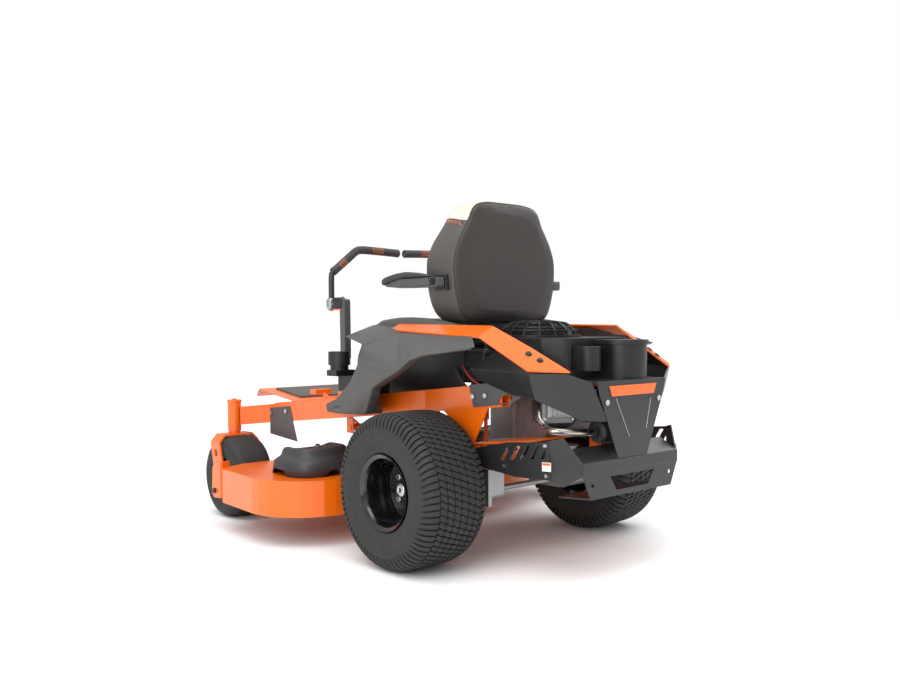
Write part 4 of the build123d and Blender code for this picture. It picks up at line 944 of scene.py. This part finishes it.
def leverPiece():
    x, y = leverLook["tubeX"], leverLook["tubeY"]
    parts = [
        bentTube("lever_bar", [(x, y, 864), (x, y, 930), (x, y, 975), (x - 4, y, 988), (x - 13, y, 996)], 11,
                 finish["blackPowderCoat"]),
        bentTube("lever_grip", [(327, y, 993.5), (290, y, 1022), (246, y, 1057), (222, y, 1077), (196, y, 1082),
                                (150, y, 1081), (90, y, 1079), (16, y, 1076.2)], leverLook["gripRadius"],
                 finish["gripRubber"]),
        spun("grip_end", [(0.1, 14.4), (10, 15.6), (15.2, 18.5), (16.2, 22), (15.9, 25), (0.1, 25)], (0, y, 1076), "x",
             finish["gripRubber"], 32),
    ]
    # moulded collar where the rubber meets the bar
    parts.append(bentTube("grip_collar", [(330, y, 991), (325, y, 995), (320, y, 999)], 16.4, finish["gripRubber"]))
    parts += chevrons("chevron_low", (304, y, 1011), (246, y, 1057), 5, leverLook["gripRadius"] - 0.4)
    parts += chevrons("chevron_high", (152, y, 1081), (60, y, 1078), 7, leverLook["gripRadius"] - 0.4)
    # clamp knob with two lobes, on its stud
    z, knobY = 868.0, y - 2
    lobes = []
    for level, share in ((-17, 0.55), (-14, 0.85), (-6, 1.0), (5, 1.0), (12, 0.85), (14.5, 0.5)):
        ring = []
        for k in range(36):
            turn = 2 * math.pi * k / 36
            reach = (19.0 + 8.0 * abs(math.cos(turn)) ** 1.5) * share
            ring.append(at(x + reach * 0.85 * math.sin(turn), knobY + level, z + reach * math.cos(turn)))
        lobes.append(ring)
    parts.append(lofted("lever_knob", lobes, finish["castAluminium"]))
    parts.append(boltHead("knob_stud", (x, knobY + 14, z), (0, 1, 0), 7.5, 5, finish["brightSteel"]))
    return joined("lever_detail", parts)


def leverPostPiece():
    x, y = 338.0, -552.0
    # folded channel, its two flanges forward, with a black moulded boot over the head
    web = [(y - 18, 582), (y + 18, 582), (y + 15, 700), (y + 12, 880), (y - 2, 895), (y - 20, 882), (y - 18, 700)]
    channel = slab("post_web", [(x - 3.6, py, pz) for py, pz in web], (7.2, 0, 0), finish["greyPowderCoat"])
    rounded(channel, 1.4, 2)
    flange = slab("post_flange", [(x - 25, y + 3, 662), (x - 25, y + 15, 662), (x - 25, y + 11, 880), (x - 25, y + 2, 886)],
                  (21, 0, 0), finish["greyPowderCoat"])
    rounded(flange, 1.4, 2)
    rings = []
    for k, (z, grow) in enumerate(((846, 0.88), (851, 1.0), (856, 0.9), (861, 1.0), (866, 0.92), (871, 1.02), (877, 0.96),
                                   (884, 1.0), (889, 0.9), (892, 0.6))):
        ring = []
        for step in range(28):
            turn = 2 * math.pi * step / 28
            ring.append(at(x - 3 + 17.5 * grow * abs(math.cos(turn)) ** 0.5 * (1 if math.cos(turn) > 0 else -1),
                           -584 + 30 * grow * abs(math.sin(turn)) ** 0.5 * (1 if math.sin(turn) > 0 else -1), z))
        rings.append(ring)
    boot = lofted("post_boot", rings, finish["blackMoulding"])
    trim = bentTube("boot_trim", [tuple((p - axleSpot) / millimetre) for p in rings[0]], 2.0, finish["orangeRubber"],
                    cyclic=True)
    return joined("lever_post_detail", [channel, flange, boot, trim])


lever, post = leverPiece(), leverPostPiece()
for piece, part in ((lever, "lever"), (post, "lever_post")):
    node = "lever_tube_" if part == "lever" else "lever_post_"
    other = mirroredCopy(piece, part + "_detail_right")
    piece.name = part + "_detail_left"
    placed(piece, part + "_left", "grip_rubber" if part == "lever" else "black_paint", node + "left")
    placed(other, part + "_right", "grip_rubber" if part == "lever" else "black_paint", node + "right")
print("levers made")


# ---- armrests

def armrestPieces():
    x0, x1 = 271.0, 318.0
    rings = []
    # padded top: distance to the rear, underside, top, inset of the sides
    for y, low, high, inset in ((-353, 936, 944, 16), (-349, 929, 950, 7), (-338, 928, 956, 2), (-300, 937, 964, 0),
                                (-260, 945, 970, 0), (-215, 951, 973, 0), (-160, 951, 968, 0), (-110, 951, 960, 1),
                                (-84, 951, 955, 6), (-74, 951.5, 953.5, 14)):
        ring = []
        mid, half, height = (x0 + x1) / 2, (x1 - x0) / 2 - inset, (high - low) / 2
        for k in range(24):
            turn = 2 * math.pi * k / 24
            sx = abs(math.cos(turn)) ** 0.5 * (1 if math.cos(turn) > 0 else -1)
            sz = abs(math.sin(turn)) ** 0.6 * (1 if math.sin(turn) > 0 else -1)
            ring.append(at(mid + half * sx, y, low + height + height * sz))
        rings.append(ring)
    pad = lofted("armrest_pad", rings, finish["gripRubber"])
    puffed(pad, 4.0, 2.0, 1.6, 8)
    side = [(-90, 949), (-44, 949), (-40, 944), (-40, 917), (-46, 914), (-250, 917), (-318, 923), (-330, 927), (-322, 932),
            (-262, 946), (-240, 949)]
    bar = slab("armrest_bar", [(x0 + 2, y, z) for y, z in side], (36, 0, 0), finish["greyMoulding"])
    rounded(bar, 3.5, 3, 20)
    rib = slab("armrest_rib", [(x0 + 38, -96, 922), (x0 + 38, -250, 923), (x0 + 38, -250, 928), (x0 + 38, -96, 928)], (3, 0, 0),
               finish["greyMoulding"])
    rounded(rib, 1.2, 2)
    hinge = slab("armrest_hinge", [(x0 + 1, -82, 948), (x0 + 1, -42, 948), (x0 + 1, -42, 920), (x0 + 1, -82, 920)], (39.5, 0, 0),
                 finish["blackMoulding"])
    rounded(hinge, 2.5, 3)
    pin = spun("armrest_pin", [(0.1, -16), (7.8, -16), (7.8, 44), (0.1, 44)], (x0, -68, 934), "x", finish["brightSteel"], 32)
    head = boltHead("armrest_bolt", (x0 + 41, -62, 934), (1, 0, 0), 8, 5, finish["blackMoulding"], washer=11)
    return pad, joined("armrest_arm", [bar, rib, hinge, pin, head])


padLeft, armLeft = armrestPieces()
for piece, name in ((padLeft, "armrest_pad"), (armLeft, "armrest_arm")):
    other = mirroredCopy(piece, name + "_right")
    piece.name = name + "_left"
    for side, copy in (("left", piece), ("right", other)):
        placed(copy, "armrest_" + side, "grey_plastic", "armrest_" + side)
print("armrests made")


# ---- belt covers

def beltCoverPiece():
    low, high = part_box("belt_covers")
    cx, cy, floor = 450.0, -620.0, 240.4
    foot = [(-150, -110), (-60, -128), (60, -118), (108, -84), (132, -36), (142, 30), (134, 96), (100, 148), (20, 168),
            (-60, 168), (-120, 152), (-150, 110), (-156, 0)]
    plan = [p.to_2d() for p in smoothLine([(x, y, 0) for x, y in foot + foot[:1]], 5)][:-1]
    rings = []
    for z, grow in ((0, 1.0), (30, 0.965), (44, 0.95), (56, 0.9), (66, 0.80), (72, 0.76), (84, 0.735), (92, 0.715), (97, 0.685),
                    (97, 0.60), (90, 0.57), (90, 0.30)):
        ring = []
        for p in plan:
            lift = z
            if z == 0:
                # arched edge: the cover stands on its corners
                for ax, ay, reach in ((142, 10, 56), (-20, -124, 56), (-20, 168, 50), (-154, 10, 60)):
                    away = math.hypot(p.x - ax, p.y - ay)
                    lift = max(lift, 22 * max(0.0, min(1.0, (reach - away) / 12)))
            # the front of the cover slopes down
            drop = 1 - 0.22 * max(0.0, (-p.y - 20) / 110) if z > 50 else 1
            ring.append(at(cx + p.x * grow, cy + p.y * grow, floor + lift * drop))
        rings.append(ring)
    shell = lofted("belt_cover_shell", rings, finish["darkMoulding"], cap=False)
    build = bmesh.new()
    build.from_mesh(shell.data)
    top = [v for v in build.verts if v.index >= (len(rings) - 1) * len(plan)]
    build.faces.new(top)
    build.to_mesh(shell.data)
    build.free()
    fixNormals(shell)
    wall = shell.modifiers.new("wall", "SOLIDIFY")
    wall.thickness = 3 * millimetre
    wall.offset = -1 if shell.data.polygons[-1].normal.z > 0 else 1
    shell.data.set_sharp_from_angle(angle=math.radians(50))
    vents = []
    for k in range(6):
        vents.append(rounded(block(f"cover_rib_{k}", (cx - 70 + 22 * k, cy - 92, floor + 66), (cx - 62 + 22 * k, cy - 74, floor + 74),
                                   finish["darkMoulding"]), 1.5, 2))
    knob = boltHead("cover_bolt", (cx - 30, cy + 10, floor + 90), (0, 0, 1), 9, 8, finish["brightSteel"], washer=15)
    return joined("belt_cover_left", [shell, knob] + vents)


beltLeft = beltCoverPiece()
beltRight = beltLeft.data.copy()
for vertex in beltRight.vertices:
    vertex.co.x = 2 * (axleSpot.x + 0.020) - vertex.co.x
beltRight.flip_normals()
beltRightPiece = bpy.data.objects.new("belt_cover_right", beltRight)
scene.collection.objects.link(beltRightPiece)
placed(beltLeft, "deck", "grey_plastic", "belt_covers")
placed(beltRightPiece, "deck", "grey_plastic", "belt_covers")
print("belt covers made")


# ---- engine

engineLook = {"crankY": 140.0, "veeAngle": 33.0}


def vee(side, x, y, z):
    # a place beside a cylinder, from its own axis
    turn = math.radians(engineLook["veeAngle"]) * side
    return (x * math.cos(turn) + y * math.sin(turn), engineLook["crankY"] - x * math.sin(turn) + y * math.cos(turn), z)


def valveCover(side):
    name = "left" if side > 0 else "right"
    parts = []
    rings = []
    for y, inset, corner in ((262.4, 0, 12), (267, 0, 12), (267, 9, 10), (284, 10, 10), (289, 12, 9), (291.5, 18, 6)):
        ring = []
        for mx, mz, turn in ((1, 1, 0), (-1, 1, 90), (-1, -1, 180), (1, -1, 270)):
            for k in range(6):
                a = math.radians(turn + 18 * k)
                x = mx * (52 - corner) + (corner - min(inset, corner)) * math.cos(a) - mx * max(0, inset - corner)
                z = 518 + mz * (40 - corner) + (corner - min(inset, corner)) * math.sin(a) - mz * max(0, inset - corner)
                ring.append(at(*vee(side, x, y, z)))
        rings.append(ring)
    parts.append(lofted("cover", rings, finish["castAluminium"]))
    parts[0].data.set_sharp_from_angle(angle=math.radians(35))
    for k in range(5):
        x = -28 + 14 * k
        route = [vee(side, x, 291.2, 490), vee(side, x, 292.0, 518), vee(side, x, 291.2, 545)]
        parts.append(bentTube(f"cover_rib_{k}", route, 1.6, finish["castAluminium"]))
    axis = Vector(vee(side, 0, 1, 0)) - Vector(vee(side, 0, 0, 0))
    for x in (-45, 45):
        for z in (485, 551):
            parts.append(spun(f"boss_{x}_{z}", [(0.1, 0), (6.5, 0), (6.5, 6), (0.1, 6)], (0, 0, 0), "y",
                              finish["castAluminium"], 20))
            boss = parts[-1]
            turn = Matrix.Rotation(-math.radians(engineLook["veeAngle"]) * side, 4, "Z")
            boss.data.transform(Matrix.Translation(at(*vee(side, x, 266, z))) @ turn @ Matrix.Translation(-axleSpot))
            parts.append(boltHead(f"bolt_{x}_{z}", vee(side, x, 272, z), axis, 4.6, 4, finish["brightSteel"]))
    return joined("valve_cover_" + name, parts)


for side in (1, -1):
    placed(valveCover(side), "chassis", "cast_aluminium", "valve_covers")


def ductPiece(side):
    # moulded air duct that wraps the cylinder ahead of the valve cover
    rings = []
    for y, grow in ((150, 0.9), (160, 0.98), (190, 1.0), (230, 1.0), (252, 0.97), (258, 0.86)):
        ring = []
        for k in range(28):
            turn = 2 * math.pi * k / 28
            sx = abs(math.cos(turn)) ** 0.65 * (1 if math.cos(turn) > 0 else -1)
            sz = abs(math.sin(turn)) ** 0.65 * (1 if math.sin(turn) > 0 else -1)
            ring.append(at(*vee(side, 66 * grow * sx - 4, y, 514 + 62 * grow * sz)))
        rings.append(ring)
    duct = lofted("duct", rings, finish["blackMoulding"])
    lip = bentTube("duct_lip", [tuple((p - axleSpot) / millimetre) for p in rings[2]], 2.6, finish["blackMoulding"], cyclic=True)
    return joined("cylinder_duct_" + ("left" if side > 0 else "right"), [duct, lip])


for side in (1, -1):
    placed(ductPiece(side), "chassis", "black_plastic")

# exhaust pipe from the left cylinder to the muffler
portX, portY, _ = vee(1, 58, 240, 500)
pipeRoute = [(portX - 6, portY + 4, 512), (portX + 4, portY + 2, 500), (portX + 12, portY + 16, 478), (portX + 10, portY + 45, 461),
             (230, 400, 456), (200, 440, 454), (160, 462, 450), (84, 464, 448)]
exhaustPipe = bentTube("exhaust_pipe", pipeRoute, 11.5, finish["exhaustSteel"], smoothness=10)
muffler = spun("muffler_can", [(0.1, -130), (30, -130), (37, -124), (38, -112), (36.8, -108), (38, -104), (38, 52), (36.8, 56),
                               (38, 60), (37, 74), (30, 80), (0.1, 80)], (0, 464, 448), "x", finish["mufflerSteel"], 64)
perforated = []
for k in range(5):
    x = 4 + 24 * k
    perforated.append(boltHead(f"bracket_bolt_{k}", (x, 426, 492 + (k % 2) * 10), (0, 1, 0), 4.5, 4, finish["brightSteel"]))
plate = slab("bracket_plate", [(-8, 422.8, 500), (112, 422.8, 512), (112, 422.8, 484), (60, 422.8, 476), (60, 422.8, 440),
                               (20, 422.8, 440), (20, 422.8, 484), (-8, 422.8, 480)], (0, 2.8, 0), finish["brightSteel"])
rounded(plate, 0.8, 2)
placed(joined("exhaust_system", [exhaustPipe, muffler, plate] + perforated), "chassis", "bright_steel", "exhaust")
print("engine dressed")


# ---- bright hardware and small fittings

wheelLook = {"track": 457, "axleHeight": 254, "lugCircle": 50.8, "lugs": 4, "capRadius": 23, "nutRadius": 12.4}
for side, name in ((1, "left"), (-1, "right")):
    hubX, hubZ = side * wheelLook["track"], wheelLook["axleHeight"]
    capR = wheelLook["capRadius"]
    profile = [(0.1, 47), (capR * 0.6, 46.4), (capR - 2, 45.2), (capR + 0.6, 42), (capR + 0.6, 22), (0.1, 22)]
    fittings = [spun("hub_cap", [(turn, side * along) for turn, along in profile], (hubX, 0, hubZ), "x", finish["brightSteel"], 48)]
    for k in range(wheelLook["lugs"]):
        turn = math.radians(45 + 360 * k / wheelLook["lugs"])
        spot = (hubX + side * 12.2, wheelLook["lugCircle"] * math.cos(turn), hubZ + wheelLook["lugCircle"] * math.sin(turn))
        fittings.append(boltHead(f"lug_nut_{k}", spot, (side, 0, 0), wheelLook["nutRadius"], 12.6, finish["brightSteel"]))
    placed(joined("wheel_hardware_" + name, fittings), "drive_wheel_" + name, "bright_steel")

# engraved pentagon on the rear panel, filled with silver
panelLines = [[(84, 546.6, 557), (-90, 546.6, 549)], [(84, 546.6, 557), (95, 546.6, 535), (19, 546.6, 436)], [(-90, 546.6, 549), (-101, 546.6, 525), (-67, 546.6, 454)]]
engraved = [bentTube(f"panel_line_{k}", line, 0.9, finish["brightSteel"], smoothness=1) for k, line in enumerate(panelLines)]
placed(joined("panel_engraving", engraved), "chassis", "bright_steel")

# dome bolts on the straps
strapBolts = []
for side in (1, -1):
    for x, y, z in [(301, 384, 696), (291, 422, 677)]:
        strapBolts.append(boltHead(f"strap_bolt_{x}_{side}", (side * x, y, z), (side * 0.304, 0.483, 0.821), 8.5, 5,
                                   finish["blackPowderCoat"], washer=11))
placed(joined("strap_bolts", strapBolts), "chassis", "black_paint")

# plain sticker on each side guard
stickers = []
for side in (1, -1):
    outline = [(side * 314.6, 452, 348), (side * 314.6, 488, 350), (side * 314.6, 488, 377), (side * 314.6, 452, 375)]
    stickers.append(slab(f"guard_sticker_{side}", outline, (side * 0.6, 0, 0), finish["whiteSticker"]))
    band = [(side * 315.2, 454, 366), (side * 315.2, 486, 368), (side * 315.2, 486, 375), (side * 315.2, 454, 373)]
    stickers.append(slab(f"guard_band_{side}", band, (side * 0.4, 0, 0), finish["orangePowderCoat"]))
placed(joined("guard_stickers", stickers), "chassis", "black_paint")

# intake duct, canister and hoses that stand between the fender and the engine
clutter = []
for side in (1, -1):
    duct = slab(f"intake_duct_{side}", [(side * 168, -44, 590), (side * 168, 96, 590), (side * 168, 118, 640),
                                        (side * 168, 118, 700), (side * 168, -30, 700), (side * 168, -44, 670)],
                (side * 70, 0, 0), finish["blackMoulding"])
    rounded(duct, 9, 3, 20)
    clutter.append(duct)
    for z in (612, 636, 660, 684):
        clutter.append(bentTube(f"duct_rib_{side}_{z}", [(side * 238.4, -30, z), (side * 238.4, 40, z), (side * 238.4, 104, z)],
                                2.2, finish["blackMoulding"], smoothness=2))
    clutter.append(spun(f"canister_{side}", [(0.1, -34), (30, -34), (36, -29), (36, 22), (33, 24), (33, 28), (28, 34), (0.1, 34)],
                        (side * 196, 46, 552), "x", finish["greyPowderCoat"], 48))
    clutter.append(bentTube(f"fuel_hose_{side}", [(side * 240, -20, 640), (side * 262, 20, 600), (side * 258, 80, 560),
                                                  (side * 232, 130, 530), (side * 200, 150, 520)], 6, finish["gripRubber"]))
    clutter.append(bentTube(f"wire_{side}", [(side * 236, 10, 650), (side * 266, 60, 620), (side * 262, 120, 585),
                                             (side * 228, 170, 560)], 3, finish["redWire"]))
placed(joined("engine_clutter", clutter), "chassis", "black_plastic")
print("small fittings made")


# ---- stage, light and camera

stageLook = {"floorRadius": 400.0, "sunPower": 1.5, "fillPower": 60.0, "rimPower": 60.0}


def paleFloor():
    steps = 64
    points = [Vector((stageLook["floorRadius"] * math.cos(2 * math.pi * k / steps),
                      stageLook["floorRadius"] * math.sin(2 * math.pi * k / steps), 0)) for k in range(steps)]
    material = bpy.data.materials.new("studioFloor")
    material.use_nodes = True
    tree = material.node_tree
    shader = tree.nodes["Principled BSDF"]
    spot = addNode(tree, "ShaderNodeTexCoord").outputs["Object"]
    cloud = addNode(tree, "ShaderNodeTexNoise", None, {"Vector": spot, "Scale": 0.8, "Detail": 2.0}).outputs["Fac"]
    tone = addNode(tree, "ShaderNodeMix", {"data_type": "RGBA"}, {0: cloud, 6: linear("#F5F5F5"), 7: linear("#F9F9F9")})
    tree.links.new(tone.outputs[2], shader.inputs["Base Color"])
    shader.inputs["Roughness"].default_value = 0.75
    shader.inputs["Specular IOR Level"].default_value = 0.1
    meshPiece("studio_floor", points, [tuple(range(steps))], material, smooth=False)


def softBox(name, place, size, power, tint="#FFFFFF"):
    lamp = bpy.data.lights.new(name, "AREA")
    lamp.shape = "RECTANGLE"
    lamp.size, lamp.size_y = size
    lamp.energy = power
    lamp.color = linear(tint)[:3]
    holder = bpy.data.objects.new(name, lamp)
    holder.location = place
    target = at(0, -400, 450)
    holder.rotation_euler = (target - Vector(place)).to_track_quat("-Z", "Y").to_euler()
    scene.collection.objects.link(holder)


def studioSky():
    world = bpy.data.worlds.new("studio")
    scene.world = world
    world.use_nodes = True
    tree = world.node_tree
    plain = tree.nodes["Background"]
    plain.inputs["Color"].default_value = (1, 1, 1, 1)
    plain.inputs["Strength"].default_value = 1.0
    spot = addNode(tree, "ShaderNodeTexCoord").outputs["Generated"]
    height = addNode(tree, "ShaderNodeSeparateXYZ", None, {0: spot}).outputs["Z"]
    glow = addNode(tree, "ShaderNodeMapRange", {"clamp": True}, {
        "Value": height, "From Min": 0.0, "From Max": 0.9, "To Min": 0.4, "To Max": 1.1}).outputs[0]
    soft = addNode(tree, "ShaderNodeBackground", None, {"Color": (1, 1, 1, 1), "Strength": glow})
    ray = addNode(tree, "ShaderNodeLightPath").outputs["Is Camera Ray"]
    both = addNode(tree, "ShaderNodeMixShader", None, {0: ray, 1: soft.outputs[0], 2: plain.outputs[0]})
    tree.links.new(both.outputs[0], tree.nodes["World Output"].inputs["Surface"])


def photoCamera():
    place = at(2288, 2314, 789)
    azimuth, elevation, roll = math.radians(138.063), math.radians(1.505), math.radians(-0.290)
    back = Vector((math.sin(azimuth) * math.cos(elevation), -math.cos(azimuth) * math.cos(elevation),
                   math.sin(elevation)))
    across = Vector((0, 0, 1)).cross(back).normalized()
    up = back.cross(across)
    rolledAcross = across * math.cos(roll) + up * math.sin(roll)
    rolledUp = up * math.cos(roll) - across * math.sin(roll)
    lens = bpy.data.cameras.new("camera")
    lens.sensor_width = 36.0
    lens.lens = 36.378
    lens.shift_x = -0.0185
    lens.shift_y = 0.0114
    lens.clip_end = 200.0
    holder = bpy.data.objects.new("camera", lens)
    turn = Matrix((rolledAcross, rolledUp, back)).transposed().to_4x4()
    holder.matrix_world = Matrix.Translation(place) @ turn
    scene.collection.objects.link(holder)
    scene.camera = holder


paleFloor()
studioSky()
sun = bpy.data.objects.new("key", bpy.data.lights.new("key", "SUN"))
sun.data.energy = stageLook["sunPower"]
sun.data.angle = math.radians(50)
sun.rotation_euler = (math.radians(-14), math.radians(16), 0)
scene.collection.objects.link(sun)
softBox("fill", at(3600, 1200, 1900), (2.6, 2.0), stageLook["fillPower"])
softBox("rim", at(-3600, 600, 3400), (3.0, 2.5), stageLook["rimPower"])
photoCamera()
scene.view_settings.view_transform = "Standard"
print("stage, light and camera set")
